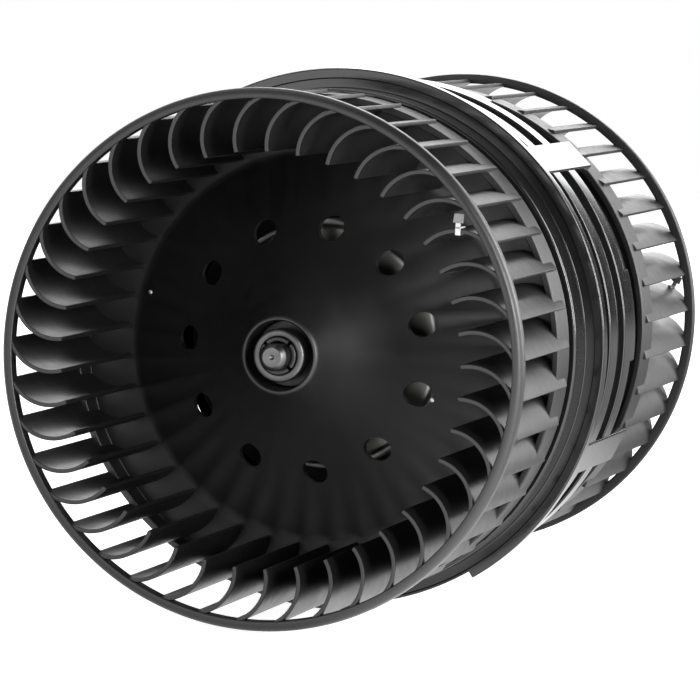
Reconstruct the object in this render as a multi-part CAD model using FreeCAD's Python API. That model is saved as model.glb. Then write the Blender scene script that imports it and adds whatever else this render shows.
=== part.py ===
import FreeCAD, Part
import math
import os
from FreeCAD import Vector

# A double-ended cabin blower: two mirrored wheels on one motor shaft, with the motor held in a
# caged carrier between them. The shaft lies along Y, the front wheel is towards -Y and +Z is up.
# The origin is on the shaft's axis, in the middle plane of the carrier's flange.
# Lengths are in millimetres. Angles run clockwise from straight up, seen from the front.

# Fits
running_clearance = 0.03
seat_clearance = 0.05
slide_clearance = 0.1
end_play = 0.3
round_edge = 0.5

# Places along the shaft
front_wheel_setback = 16.6
wheel_spacing = 93.4

# Blower wheels
wheel_diameter = 150.0
wheel_length = 64.0
rim_wall = 3.0
rim_width = 4.2
rim_round = 2.0
blade_count = 41
blade_first_angle = 2.6
blade_height = 14.5
blade_thickness = 1.2
blade_belly_height = 8.4
blade_belly_lead = 1.1
blade_tip_lead = 7.8
blade_setback = 0.6
hub_ring_diameter = 144.8
hub_ring_wall = 2.0
hub_ring_width = 13.0
back_plate_thickness = 2.2
back_plate_setback = 2.6
dome_edge_step = 0.7
dome_nose_height = 38.6
dome_nose_radius = 11.4
dome_sag = 3.8
dome_wall = 2.6
vent_hole_count = 11
vent_hole_diameter = 7.1
vent_hole_radius = 35.1
vent_hole_first_angle = 12.2
moat_radius = 9.6
moat_depth = 8.5
moat_wall = 2.2
moat_floor = 2.5
collet_radius = 5.3
collet_stand = 2.3
collet_slot_count = 4
collet_slot_width = 1.0
collet_slot_depth = 6.5
hub_sleeve_radius = 7.6
hub_sleeve_length = 17.0

# Clamp rings on the collets
clamp_ring_radius = 7.5
clamp_ring_width = 5.6
clamp_ring_stand = 1.5
clamp_ring_round = 1.0

# Balance clips, each with an ear that stands off the blade
clip_wall = 0.5
clip_height = 1.6
clip_length = 5.0
clip_stem_width = 1.4
clip_stem_length = 1.1
clip_ear_width = 3.0
clip_ear_length = 2.8
clip_ear_tilt = 28.0
front_clip_blades = [6]
rear_clip_blades = [9, 27]
clip_place = 0.54

# Balance pins pressed into the dome: radius and angle of each
pin_diameter = 1.4
pin_stand = 0.5
pin_depth = 3.0
front_pin_places = [(52.6, 286.0), (39.0, 111.0)]
rear_pin_places = [(52.6, 64.0)]

# Shaft
shaft_diameter = 8.0
shaft_stand_out = 7.6
shaft_chamfer = 1.3
shaft_flat_depth = 0.5

# Carrier, front half
flange_diameter = 158.2
flange_thickness = 3.5
seat_land_width = 2.9
seat_land_height = 0.5
index_notch_angle = 161.0
index_notch_span = 23.0
index_notch_depth = 2.1
lip_diameter = 146.8
lip_reach = 13.1
lip_wall = 2.2
collar_wall = 2.5
collar_length = 16.0
collar_stand = 4.2
web_vent_count = 10
web_vent_width = 9.0
web_vent_inner_radius = 48.0
web_vent_outer_radius = 64.0

# Carrier, rear half
rear_web_face = 71.7
rear_web_thickness = 3.5
rear_web_diameter = 141.0
rear_collar_stand = 1.5
middle_ring_diameter = 150.6
middle_ring_start = 22.0
middle_ring_width = 27.0
middle_ring_wall = 3.5
middle_ring_groove = 2.3
middle_ring_bead = 8.6
bar_count = 5
bar_first_angle = 46.0
bar_width = 10.5
bar_thickness = 2.6
bar_setback = 2.0
bar_face_height = 75.6
rib_thickness = 3.0
lug_first_angle = 14.0
lug_count = 4
lug_span = 21.0
lug_reach = 5.0
lug_wall = 3.0

# Screws that join the carrier halves
screw_circle_radius = 60.0
screw_diameter = 3.0
screw_length = 14.0
screw_head_radius = 2.9
screw_head_height = 2.2
screw_recess_width = 0.7
screw_recess_length = 3.2
screw_recess_depth = 1.2
screw_boss_radius = 3.8
screw_boss_length = 20.0
screw_hole_spare = 2.0
screw_thread_bite = 0.2

# Rubber dampers
damper_wall = 4.6
damper_lip_width = 1.0

# Motor can and cover
can_diameter = 72.0
can_wall = 2.2
can_length = 98.0
can_round = 3.0
cover_wall = 2.2
crimp_count = 4
crimp_width = 6.0
crimp_depth = 1.6
crimp_height = 1.2

# Bearings
bearing_radius = 8.0
bearing_length = 9.0
bearing_overhang = 5.1
pocket_radius = 9.5
pocket_wall = 1.4
pocket_seat_step = 0.8
bearing_spring_thickness = 0.5

# Magnets
magnet_thickness = 4.2
magnet_span = 120.0
magnet_length = 56.0
magnet_spring_thickness = 0.8
magnet_spring_length = 28.0

# Armature
air_gap = 0.65
core_length = 44.0
core_setback = 21.9
slot_count = 12
slot_root_radius = 12.0
slot_tip_radius = 26.0
slot_root_width = 2.6
slot_tip_width = 10.0
slot_mouth_width = 2.2
winding_inset = 0.3
end_turn_length = 8.0

# Commutator
commutator_radius = 11.5
commutator_length = 17.0
commutator_bar_height = 3.9
commutator_slit = 0.6
commutator_hook_height = 1.7
commutator_hook_width = 1.6
commutator_gap = 2.6
commutator_sleeve_lip = 1.0

# Brush gear
card_thickness = 1.8
card_gap = 2.6
card_hole_radius = 13.5
brush_width = 8.0
brush_depth = 7.0
brush_length = 11.4
brush_travel = 4.0
holder_wall = 0.5
holder_foot = 3.4
holder_foot_thickness = 1.0
holder_foot_places = [4.5, 14.5]
holder_gap = 2.0
spring_radius = 2.6
spring_wire = 0.5
spring_wire_sides = 6
spring_turns = 6
spring_length = 8.6
choke_core_radius = 2.0
choke_core_length = 16.0
choke_coil_turns = 12
choke_wire = 1.0
choke_place = 22.0
capacitor_width = 8.0
capacitor_height = 8.0
capacitor_depth = 4.9
capacitor_place_x = 13.0
capacitor_place_z = -24.0

# Connector
connector_angle = 298.0
connector_middle = 59.8
shroud_width = 22.0
shroud_depth = 14.6
shroud_wall = 1.8
shroud_base_radius = 64.0
shroud_mouth_radius = 86.0
shroud_floor = 4.0
foot_width = 18.0
foot_depth = 8.4
foot_root_radius = 52.0
terminal_width = 6.3
terminal_thickness = 0.8
terminal_spacing = 9.0
terminal_tip_setback = 4.0
strip_width = 4.0
strip_radius = 46.0
strip_root_radius = 26.0

# Worked-out values
wheel_radius = wheel_diameter / 2
rim_inner_radius = wheel_radius - rim_wall
blade_tip_radius = rim_inner_radius + 0.3 * rim_wall
blade_root_radius = rim_inner_radius - blade_height
plate_front = back_plate_setback + back_plate_thickness
dome_edge_radius = blade_root_radius - dome_edge_step
nose_height = plate_front + dome_nose_height
shaft_radius = shaft_diameter / 2
hub_bore_radius = shaft_radius + running_clearance
front_wheel_place = -front_wheel_setback
rear_wheel_place = wheel_spacing - front_wheel_setback
middle = (front_wheel_place + rear_wheel_place) / 2
shaft_reach = nose_height + shaft_stand_out
shaft_start = front_wheel_place - shaft_reach
shaft_end = rear_wheel_place + shaft_reach
sleeve_end = nose_height - moat_depth - hub_sleeve_length
flange_radius = flange_diameter / 2
flange_half = flange_thickness / 2
can_radius = can_diameter / 2
can_inner_radius = can_radius - can_wall
can_front = middle - can_length / 2
cover_rear = middle + can_length / 2
collar_inner_radius = can_radius + seat_clearance + damper_wall + seat_clearance
collar_outer_radius = collar_inner_radius + collar_wall
front_collar_front = -flange_half - collar_stand
rear_collar_rear = rear_web_face + rear_collar_stand
rear_web_front = rear_web_face - rear_web_thickness
ring_radius = middle_ring_diameter / 2
front_bearing_middle = can_front - bearing_overhang
rear_bearing_middle = cover_rear + bearing_overhang
core_front = can_front + core_setback
core_rear = core_front + core_length
core_radius = can_inner_radius - seat_clearance - magnet_thickness - air_gap
winding_front = core_front - end_turn_length
winding_rear = core_rear + end_turn_length
commutator_front = winding_rear + commutator_gap
commutator_rear = commutator_front + commutator_length
sleeve_rear = commutator_rear + commutator_sleeve_lip
card_rear = cover_rear - cover_wall - card_gap
card_front = card_rear - card_thickness
holder_rear = card_front - holder_foot
brush_middle = holder_rear - holder_wall - slide_clearance - brush_depth / 2
brush_face_radius = commutator_radius + slide_clearance
brush_top = brush_face_radius + brush_length
holder_root = brush_face_radius + holder_gap
holder_top = brush_top + spring_length + holder_wall
origin = Vector(0, 0, 0)
along = Vector(0, 1, 0)


def outline(points):
    """Closed wire through (radius, place along the shaft, corner round) points."""
    corners = [Vector(p[0], p[1], 0) for p in points]
    edges = []
    last = None
    first = None
    for i, here in enumerate(corners):
        to_before = (corners[i - 1] - here).normalize()
        to_after = (corners[(i + 1) % len(corners)] - here).normalize()
        corner_round = points[i][2]
        enter = here
        leave = here
        if corner_round > 0:
            half = to_before.getAngle(to_after) / 2
            enter = here + to_before * (corner_round / math.tan(half))
            leave = here + to_after * (corner_round / math.tan(half))
        if last is not None:
            edges.append(Part.LineSegment(last, enter).toShape())
        if corner_round > 0:
            inward = (to_before + to_after).normalize()
            peak = here + inward * (corner_round / math.sin(half) - corner_round)
            edges.append(Part.Arc(enter, peak, leave).toShape())
        if first is None:
            first = enter
        last = leave
    edges.append(Part.LineSegment(last, first).toShape())
    return Part.Wire(edges)


def turned(points):
    """Solid of revolution about the shaft's axis."""
    return Part.Face(outline(points)).revolve(origin, along, 360)


def tube(inner_radius, outer_radius, start, end):
    """Plain round tube about the shaft's axis."""
    length = end - start
    outer = Part.makeCylinder(outer_radius, length, Vector(0, start, 0), along)
    inner = Part.makeCylinder(inner_radius, length, Vector(0, start, 0), along)
    return outer.cut(inner)


def block(width, start, end, low, high, side=0.0):
    """Box centred on x = side, from start to end along the shaft and from low to high in z."""
    return Part.makeBox(width, end - start, high - low, Vector(side - width / 2, start, low))


def spun(shape, angle):
    """Copy turned clockwise about the shaft's axis."""
    copy = shape.copy()
    copy.rotate(origin, along, angle)
    return copy


def ring_of(shape, count, first_angle):
    """Copies spaced evenly about the shaft's axis."""
    return [spun(shape, first_angle + i * 360.0 / count) for i in range(count)]


def moved(shape, distance):
    """Copy moved along the shaft."""
    copy = shape.copy()
    copy.translate(Vector(0, distance, 0))
    return copy


def mirrored(shape):
    """Mirror image about the middle plane between the wheels."""
    return shape.mirror(Vector(0, middle, 0), along)


def polar(radius, angle):
    """Point at a radius and a clockwise angle, in the plane of the origin."""
    turn = math.radians(angle)
    return Vector(radius * math.sin(turn), 0, radius * math.cos(turn))


def blade_arc():
    """Centre line of one blade's section: root, belly and tip."""
    root = polar(blade_root_radius, 0)
    belly = polar(blade_root_radius + blade_belly_height, blade_belly_lead)
    tip = polar(blade_tip_radius, blade_tip_lead)
    return Part.Arc(root, belly, tip).toShape(), [root, belly, tip]


def blade():
    """One blade, from inside the back plate to just behind the rim's face."""
    arc, points = blade_arc()
    centre = arc.Curve.Center
    outer = []
    inner = []
    for p in points:
        out = (p - centre).normalize()
        outer.append(p + out * (blade_thickness / 2))
        inner.append(p - out * (blade_thickness / 2))
    edges = [
        Part.Arc(outer[0], outer[1], outer[2]).toShape(),
        Part.LineSegment(outer[2], inner[2]).toShape(),
        Part.Arc(inner[2], inner[1], inner[0]).toShape(),
        Part.LineSegment(inner[0], outer[0]).toShape(),
    ]
    start = plate_front - back_plate_thickness / 2
    length = wheel_length - blade_setback - start
    return moved(Part.Face(Part.Wire(edges)).extrude(along * length), start)


def dome_points(drop):
    """Nose, middle and edge of the dome's curve, lowered along the shaft by drop."""
    nose = Vector(dome_nose_radius, nose_height - drop, 0)
    edge = Vector(dome_edge_radius, plate_front - drop, 0)
    chord = (edge - nose).normalize()
    hollow = (nose + edge) * 0.5 + Vector(chord.y, -chord.x, 0) * dome_sag
    return nose, hollow, edge


def dome_curve():
    """The dome's outer curve, from the nose out to the edge."""
    nose, hollow, edge = dome_points(0)
    return Part.Arc(nose, hollow, edge).toShape()


def dome_height(radius):
    """Height of the dome's outer surface at a radius, in the wheel's own frame."""
    line = Part.makeLine(Vector(radius, 0, 0), Vector(radius, nose_height, 0))
    return dome_curve().distToShape(line)[1][0][0].y


def moat_edge():
    """Start, peak and end of the rounding that leads from the moat's wall into the dome."""
    curve = dome_curve()
    fall = curve.tangentAt(curve.FirstParameter)
    out = Vector(-fall.y, fall.x, 0)
    edge_round = (dome_nose_radius - moat_radius) / (1 + out.x)
    nose = dome_points(0)[0]
    centre = nose - out * edge_round
    start = centre - Vector(edge_round, 0, 0)
    peak = centre + (out - Vector(1, 0, 0)).normalize() * edge_round
    return start, peak, nose


def hub_shell():
    """Dome, nose, collet, hub sleeve, back plate and hub ring, turned about the shaft."""
    edge = dome_points(0)[2]
    moat_top, moat_peak, nose = moat_edge()
    under_hollow, under_edge = dome_points(dome_wall)[1:]
    moat_outer = moat_radius + moat_wall
    under_nose = Vector(moat_outer, dome_height(moat_outer) - dome_wall, 0)
    floor = nose_height - moat_depth
    ring_outer = hub_ring_diameter / 2
    ring_inner = ring_outer - hub_ring_wall
    flat_under = Vector(dome_edge_radius, back_plate_setback, 0)
    corners = [
        edge,
        Vector(ring_inner, plate_front, 0),
        Vector(ring_inner, hub_ring_width, 0),
        Vector(ring_outer, hub_ring_width, 0),
        Vector(ring_outer, 0, 0),
        Vector(ring_inner, 0, 0),
        Vector(ring_inner, back_plate_setback, 0),
        flat_under,
        under_edge,
    ]
    inside = [
        under_nose,
        Vector(moat_outer, floor - moat_floor, 0),
        Vector(hub_sleeve_radius, floor - moat_floor, 0),
        Vector(hub_sleeve_radius, sleeve_end, 0),
        Vector(hub_bore_radius, sleeve_end, 0),
        Vector(hub_bore_radius, nose_height + collet_stand, 0),
        Vector(collet_radius, nose_height + collet_stand, 0),
        Vector(collet_radius, floor, 0),
        Vector(moat_radius, floor, 0),
        moat_top,
    ]
    edges = [Part.Arc(moat_top, moat_peak, nose).toShape(), dome_curve()]
    for a, b in zip(corners, corners[1:]):
        if a.distanceToPoint(b) > 0.01:
            edges.append(Part.LineSegment(a, b).toShape())
    edges.append(Part.Arc(under_edge, under_hollow, under_nose).toShape())
    for a, b in zip(inside, inside[1:]):
        edges.append(Part.LineSegment(a, b).toShape())
    return Part.Face(Part.Wire(edges)).revolve(origin, along, 360)


def bore_flat():
    """Flat inside the hub's bore that drives the wheel from the shaft's flat."""
    bore = Part.makeCylinder(hub_bore_radius, hub_sleeve_length, Vector(0, sleeve_end, 0), along)
    low = shaft_radius - shaft_flat_depth + running_clearance
    keep = block(shaft_diameter * 2, sleeve_end, sleeve_end + hub_sleeve_length, low, shaft_diameter)
    return bore.common(keep)


def wheel(pin_places):
    """One blower wheel in one moulding, hub end at y = 0 and inlet towards +Y."""
    rim = turned([
        (rim_inner_radius, wheel_length - rim_width, 0),
        (wheel_radius, wheel_length - rim_width, round_edge),
        (wheel_radius, wheel_length, rim_round),
        (rim_inner_radius, wheel_length, round_edge),
    ])
    body = hub_shell().multiFuse([rim, bore_flat()] + ring_of(blade(), blade_count, blade_first_angle))
    hole_end = nose_height
    hole = Part.makeCylinder(vent_hole_diameter / 2, hole_end, Vector(0, 0, vent_hole_radius), along)
    slot_start = nose_height + collet_stand - collet_slot_depth
    slot_end = nose_height + collet_stand
    slot = block(collet_slot_width, slot_start, slot_end, shaft_radius / 2, collet_radius + 1)
    cuts = ring_of(hole, vent_hole_count, vent_hole_first_angle)
    cuts += ring_of(slot, collet_slot_count, 45.0)
    cuts += [balance_pin(p, pin_diameter / 2, pin_depth * 2, pin_depth) for p in pin_places]
    return body.cut(Part.makeCompound(cuts)).removeSplitter()


def clamp_ring():
    """Steel ring that closes the collet on the shaft, in the wheel's own frame."""
    end = nose_height + clamp_ring_stand
    inner = collet_radius + seat_clearance
    return turned([
        (inner, end - clamp_ring_width, 0),
        (clamp_ring_radius, end - clamp_ring_width, round_edge),
        (clamp_ring_radius, end, clamp_ring_round),
        (inner, end, 0),
    ])


def balance_clips(blades):
    """Spring clips pushed over the inlet ends of some blades, in the wheel's own frame."""
    arc, points = blade_arc()
    place = arc.FirstParameter + clip_place * (arc.LastParameter - arc.FirstParameter)
    centre = arc.valueAt(place)
    tangent = arc.tangentAt(place)
    gap = blade_thickness + 2 * slide_clearance
    end = wheel_length - blade_setback + clip_wall
    low = -clip_height / 2
    outer = block(gap + 2 * clip_wall, end - clip_length, end, low, -low)
    inner = block(gap, end - clip_length, end - clip_wall + seat_clearance, low, -low)
    near = -gap / 2
    middle_x = near - clip_wall - clip_stem_length
    stem_width = near - middle_x
    stem_x = (middle_x + near) / 2
    half_stem = clip_stem_width / 2
    stem = block(stem_width, end - clip_wall, end, -half_stem, half_stem, stem_x)
    ear_x = middle_x - clip_ear_length / 2
    ear = block(clip_ear_length, end - clip_wall, end, -clip_ear_width / 2, clip_ear_width / 2, ear_x)
    bend = Vector(middle_x, end - clip_wall / 2, 0)
    ear.rotate(bend, Vector(0, 0, 1), clip_ear_tilt)
    clip = outer.cut(inner).multiFuse([stem, ear]).removeSplitter()
    clip.rotate(origin, along, math.degrees(math.atan2(tangent.x, tangent.z)))
    clip.translate(centre)
    step = 360.0 / blade_count
    return Part.makeCompound([spun(clip, blade_first_angle + k * step) for k in blades])


def balance_pin(place, radius, low, high):
    """Round bar that runs along the shaft through a place on the dome."""
    turn = polar(place[0], place[1])
    surface = dome_height(place[0])
    return Part.makeCylinder(radius, low + high, Vector(turn.x, surface - low, turn.z), along)


def balance_pins(places):
    """Headless balance pins pressed into the dome, in the wheel's own frame."""
    radius = pin_diameter / 2 - running_clearance
    return Part.makeCompound([balance_pin(p, radius, pin_depth, pin_stand) for p in places])


def front_of(shape):
    """Place a shape of the wheel's own frame at the front wheel."""
    return shape.mirror(origin, along).translated(Vector(0, front_wheel_place, 0))


def rear_of(shape):
    """Place a shape of the wheel's own frame at the rear wheel."""
    return moved(shape, rear_wheel_place)


def shaft():
    """Motor shaft with a driving flat at each end."""
    bar = turned([
        (0, shaft_start, 0),
        (shaft_radius - shaft_chamfer, shaft_start, 0),
        (shaft_radius, shaft_start + shaft_chamfer, 0),
        (shaft_radius, shaft_end - shaft_chamfer, 0),
        (shaft_radius - shaft_chamfer, shaft_end, 0),
        (0, shaft_end, 0),
    ])
    low = shaft_radius - shaft_flat_depth
    flat = block(shaft_diameter * 2, shaft_start, front_wheel_place - sleeve_end, low, shaft_diameter)
    return bar.cut(Part.makeCompound([flat, mirrored(flat)]))


def web_vents(start, end):
    """Cooling slots through a carrier web, clear of the ribs."""
    first = bar_first_angle + 180.0 / web_vent_count
    slot = block(web_vent_width, start, end, web_vent_inner_radius, web_vent_outer_radius)
    return ring_of(slot, web_vent_count, first)


def front_carrier():
    """Front half of the carrier: lip, flange with its index notch, web and collar."""
    lip_radius = lip_diameter / 2
    lip_inner = lip_radius - lip_wall
    land = flange_radius - seat_land_width
    body = turned([
        (lip_inner, -lip_reach, round_edge),
        (lip_radius, -lip_reach, 1.4 * round_edge),
        (lip_radius, -flange_half, 0),
        (land, -flange_half, 0),
        (land, -flange_half - seat_land_height, 0),
        (flange_radius, -flange_half - seat_land_height, round_edge),
        (flange_radius, flange_half + seat_land_height, round_edge),
        (land, flange_half + seat_land_height, 0),
        (land, flange_half, 0),
        (collar_outer_radius, flange_half, 0),
        (collar_outer_radius, front_collar_front + collar_length, 0),
        (collar_inner_radius, front_collar_front + collar_length, 0),
        (collar_inner_radius, front_collar_front, 0),
        (collar_outer_radius, front_collar_front, 0),
        (collar_outer_radius, -flange_half, 0),
        (lip_inner, -flange_half, 0),
    ])
    hole_radius = screw_diameter / 2 + screw_thread_bite
    hole_start = Vector(0, -flange_half, screw_circle_radius)
    hole = Part.makeCylinder(hole_radius, flange_thickness, hole_start, along)
    cuts = ring_of(hole, bar_count, bar_first_angle) + web_vents(-flange_half, flange_half)
    notch_floor = flange_radius - index_notch_depth
    land_face = flange_half + seat_land_height
    notch = arc_piece(notch_floor, flange_radius + 1, -land_face, land_face, index_notch_span, 0)
    cuts.append(spun(notch, index_notch_angle))
    return body.cut(Part.makeCompound(cuts))


def middle_ring():
    """Grooved ring around the middle of the cage, with a bead at each edge."""
    end = middle_ring_start + middle_ring_width
    inner = ring_radius - middle_ring_wall
    groove = ring_radius - middle_ring_groove
    return turned([
        (inner, middle_ring_start, round_edge),
        (ring_radius, middle_ring_start, round_edge),
        (ring_radius, middle_ring_start + middle_ring_bead, round_edge),
        (groove, middle_ring_start + middle_ring_bead, 0),
        (groove, end - middle_ring_bead, 0),
        (ring_radius, end - middle_ring_bead, round_edge),
        (ring_radius, end, round_edge),
        (inner, end, round_edge),
    ])


def lug():
    """Twist lug that stands out of the middle ring's rear edge, centred straight up."""
    start = middle_ring_start + middle_ring_width - middle_ring_bead / 2
    end = middle_ring_start + middle_ring_width + lug_reach
    section = outline([
        (ring_radius - lug_wall, start, 0),
        (ring_radius, start, 0),
        (ring_radius, end, round_edge),
        (ring_radius - lug_wall, end, round_edge),
    ])
    sector = Part.Face(section).revolve(origin, along, lug_span)
    return spun(sector, -90.0 - lug_span / 2)


def bar_and_rib():
    """Flat bridging bar and the rib that carries it, with the screw boss, centred straight up."""
    start = flange_half + seat_clearance
    under_bar = bar_face_height - bar_thickness
    bar_end = rear_web_face - bar_setback
    bar = block(bar_width, start, bar_end, under_bar, bar_face_height)
    long_edges = [e for e in bar.Edges if abs(e.Length - (bar_end - start)) < 0.01]
    bar = bar.makeFillet(round_edge, long_edges)
    rib_low = collar_outer_radius + end_play
    rib = block(rib_thickness, start, rear_web_face, rib_low, under_bar + bar_thickness / 2)
    rear_collar_front = rear_collar_rear - collar_length
    collar_middle = (collar_inner_radius + collar_outer_radius) / 2
    joint = block(rib_thickness, rear_collar_front, rear_web_face, collar_middle, rib_low + 1)
    boss_root = Vector(0, start, screw_circle_radius)
    boss = Part.makeCylinder(screw_boss_radius, screw_boss_length, boss_root, along)
    return bar.multiFuse([rib, joint, boss])


def rear_carrier():
    """Rear half of the carrier: middle ring, bars on ribs, lugs, web and collar."""
    web = turned([
        (collar_inner_radius, rear_collar_rear - collar_length, 0),
        (collar_outer_radius, rear_collar_rear - collar_length, 0),
        (collar_outer_radius, rear_web_front, 0),
        (rear_web_diameter / 2, rear_web_front, round_edge),
        (rear_web_diameter / 2, rear_web_face, round_edge),
        (collar_outer_radius, rear_web_face, 0),
        (collar_outer_radius, rear_collar_rear, 0),
        (collar_inner_radius, rear_collar_rear, 0),
    ])
    lug_step = 360.0 / bar_count
    lugs = [spun(lug(), lug_first_angle + i * lug_step) for i in range(lug_count)]
    cage = ring_of(bar_and_rib(), bar_count, bar_first_angle)
    body = middle_ring().multiFuse([web] + cage + lugs)
    hole_start = Vector(0, flange_half + seat_clearance, screw_circle_radius)
    hole_length = screw_length - flange_thickness + screw_hole_spare
    hole_radius = screw_diameter / 2 - screw_thread_bite
    hole = Part.makeCylinder(hole_radius, hole_length, hole_start, along)
    notch_width = terminal_spacing + strip_width + 2.0
    notch_low = strip_radius - 2.0
    notch_high = strip_radius + terminal_thickness + 2.0
    notch = block(notch_width, rear_web_front, rear_web_face, notch_low, notch_high)
    cuts = ring_of(hole, bar_count, bar_first_angle) + web_vents(rear_web_front, rear_web_face)
    cuts.append(spun(notch, connector_angle))
    return body.cut(Part.makeCompound(cuts)).removeSplitter()


def carrier_screws():
    """Screws through the front web into the rear half's bosses."""
    shank_radius = screw_diameter / 2 - screw_thread_bite - seat_clearance
    head_start = -flange_half - screw_head_height
    head = turned([
        (0, head_start, 0),
        (screw_head_radius, head_start, round_edge),
        (screw_head_radius, -flange_half, 0),
        (shank_radius, -flange_half, 0),
        (shank_radius, screw_length - flange_half, 0),
        (0, screw_length - flange_half, 0),
    ])
    half = screw_recess_length / 2
    recess_end = head_start + screw_recess_depth
    upright = block(screw_recess_width, head_start, recess_end, -half, half)
    half_width = screw_recess_width / 2
    level = block(screw_recess_length, head_start, recess_end, -half_width, half_width)
    screw = head.cut(upright).cut(level)
    screw.translate(Vector(0, 0, screw_circle_radius))
    return Part.makeCompound(ring_of(screw, bar_count, bar_first_angle))


def damper(collar_outer_end, direction):
    """Rubber ring between the can and a collar, with a lip over the collar's outer end."""
    inner = can_radius + seat_clearance
    outer = inner + damper_wall
    lip_radius = collar_outer_radius
    lip_start = collar_outer_end + direction * seat_clearance
    lip_end = lip_start + direction * damper_lip_width
    far = collar_outer_end - direction * collar_length
    return turned([
        (inner, lip_end, 0),
        (lip_radius, lip_end, round_edge),
        (lip_radius, lip_start, 0),
        (outer, lip_start, 0),
        (outer, far, 0),
        (inner, far, 0),
    ])


def motor_can():
    """Drawn steel can with the front bearing's pocket, crimped over the cover at the rear."""
    rim_end = cover_rear + crimp_height
    pocket_end = front_bearing_middle - bearing_length / 2 + pocket_seat_step
    seat_radius = seat_hole_radius()
    shell = turned([
        (can_radius, can_front, can_round),
        (can_radius, rim_end, 0),
        (can_inner_radius, rim_end, 0),
        (can_inner_radius, can_front + can_wall, round_edge),
        (pocket_radius, can_front + can_wall, 0),
        (pocket_radius, pocket_end, 0),
        (seat_radius, pocket_end, 0),
        (seat_radius, pocket_end - pocket_wall, 0),
        (pocket_radius + pocket_wall, pocket_end - pocket_wall, pocket_wall / 2),
        (pocket_radius + pocket_wall, can_front, round_edge),
    ])
    crimp_start = cover_rear + seat_clearance
    crimp_low = can_inner_radius - crimp_depth
    crimp = block(crimp_width, crimp_start, rim_end, crimp_low, can_radius - can_wall / 2)
    notch_width = terminal_spacing + strip_width + 2.0
    notch_start = card_rear - end_play
    notch_end = cover_rear - cover_wall
    notch = block(notch_width, notch_start, notch_end, can_inner_radius - 1, can_radius + 1)
    return shell.multiFuse(ring_of(crimp, crimp_count, 45.0)).cut(spun(notch, connector_angle))


def seat_hole_radius():
    """Radius of the hole whose edge seats the round bearing."""
    drop = bearing_length / 2 - pocket_seat_step
    return math.sqrt(bearing_radius ** 2 - drop ** 2) + seat_clearance


def can_cover():
    """Rear end cover with the rear bearing's pocket."""
    pocket_end = rear_bearing_middle + bearing_length / 2 - pocket_seat_step
    seat_radius = seat_hole_radius()
    outer = can_inner_radius - seat_clearance
    return turned([
        (outer, cover_rear, 0),
        (outer, cover_rear - cover_wall, 0),
        (pocket_radius, cover_rear - cover_wall, 0),
        (pocket_radius, pocket_end, 0),
        (seat_radius, pocket_end, 0),
        (seat_radius, pocket_end + pocket_wall, 0),
        (pocket_radius + pocket_wall, pocket_end + pocket_wall, pocket_wall / 2),
        (pocket_radius + pocket_wall, cover_rear, round_edge),
    ])


def bearing(place):
    """Round sintered bearing that lines itself up in its pocket."""
    half = bearing_length / 2
    end_radius = math.sqrt(bearing_radius ** 2 - half ** 2)
    bore = shaft_radius + running_clearance
    corners = [
        Vector(end_radius, half, 0),
        Vector(bore, half, 0),
        Vector(bore, -half, 0),
        Vector(end_radius, -half, 0),
    ]
    edges = [Part.LineSegment(a, b).toShape() for a, b in zip(corners, corners[1:])]
    crest = Vector(bearing_radius, 0, 0)
    edges.append(Part.Arc(corners[-1], crest, corners[0]).toShape())
    return moved(Part.Face(Part.Wire(edges)).revolve(origin, along, 360), place)


def bearing_spring(place, direction):
    """Flat spring ring that holds the bearing in its seat, on the motor's side."""
    inner_side = place + direction * bearing_length / 2
    outer_side = inner_side - direction * bearing_spring_thickness
    drop = bearing_length / 2 - bearing_spring_thickness
    hole = math.sqrt(bearing_radius ** 2 - drop ** 2) + seat_clearance
    start = min(inner_side, outer_side)
    return tube(hole, pocket_radius - seat_clearance, start, start + bearing_spring_thickness)


def spacer(start, end):
    """Fibre spacer on the shaft."""
    return tube(shaft_radius + running_clearance, shaft_radius + 2.4, start, end)


def arc_piece(inner_radius, outer_radius, start, end, span, angle):
    """Part of a tube that spans an angle, centred on a clockwise angle."""
    section = outline([
        (inner_radius, start, 0),
        (outer_radius, start, 0),
        (outer_radius, end, 0),
        (inner_radius, end, 0),
    ])
    sector = Part.Face(section).revolve(origin, along, span)
    return spun(sector, angle - 90.0 - span / 2)


def magnet(angle):
    """Curved magnet against the can's wall."""
    outer = can_inner_radius - seat_clearance
    start = (core_front + core_rear - magnet_length) / 2
    return arc_piece(outer - magnet_thickness, outer, start, start + magnet_length, magnet_span, angle)


def magnet_springs():
    """Curved springs that hold the magnets apart."""
    outer = can_inner_radius - end_play
    start = (core_front + core_rear - magnet_spring_length) / 2
    end = start + magnet_spring_length
    span = 180.0 - magnet_span - 1.0
    inner = outer - magnet_spring_thickness
    upper_spring = arc_piece(inner, outer, start, end, span, 0.0)
    return Part.makeCompound([upper_spring, lower(upper_spring)])


def slot_shape(inset, start, end):
    """Wedge-shaped winding space between two teeth, centred straight up."""
    root = slot_root_radius + inset
    tip = slot_tip_radius - inset
    half_root = slot_root_width / 2 - inset
    half_tip = slot_tip_width / 2 - inset
    corners = [
        Vector(-half_root, start, root),
        Vector(half_root, start, root),
        Vector(half_tip, start, tip),
        Vector(-half_tip, start, tip),
    ]
    wire = Part.makePolygon(corners + corners[:1])
    return Part.Face(wire).extrude(along * (end - start))


def armature_core():
    """Stack of laminations with its slots, as one pressed pack."""
    core = tube(shaft_radius + running_clearance, core_radius, core_front, core_rear)
    mouth = block(slot_mouth_width, core_front, core_rear, slot_tip_radius - 1, core_radius + 1)
    slot = slot_shape(0, core_front, core_rear).fuse(mouth)
    return core.cut(Part.makeCompound(ring_of(slot, slot_count, 0)))


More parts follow.
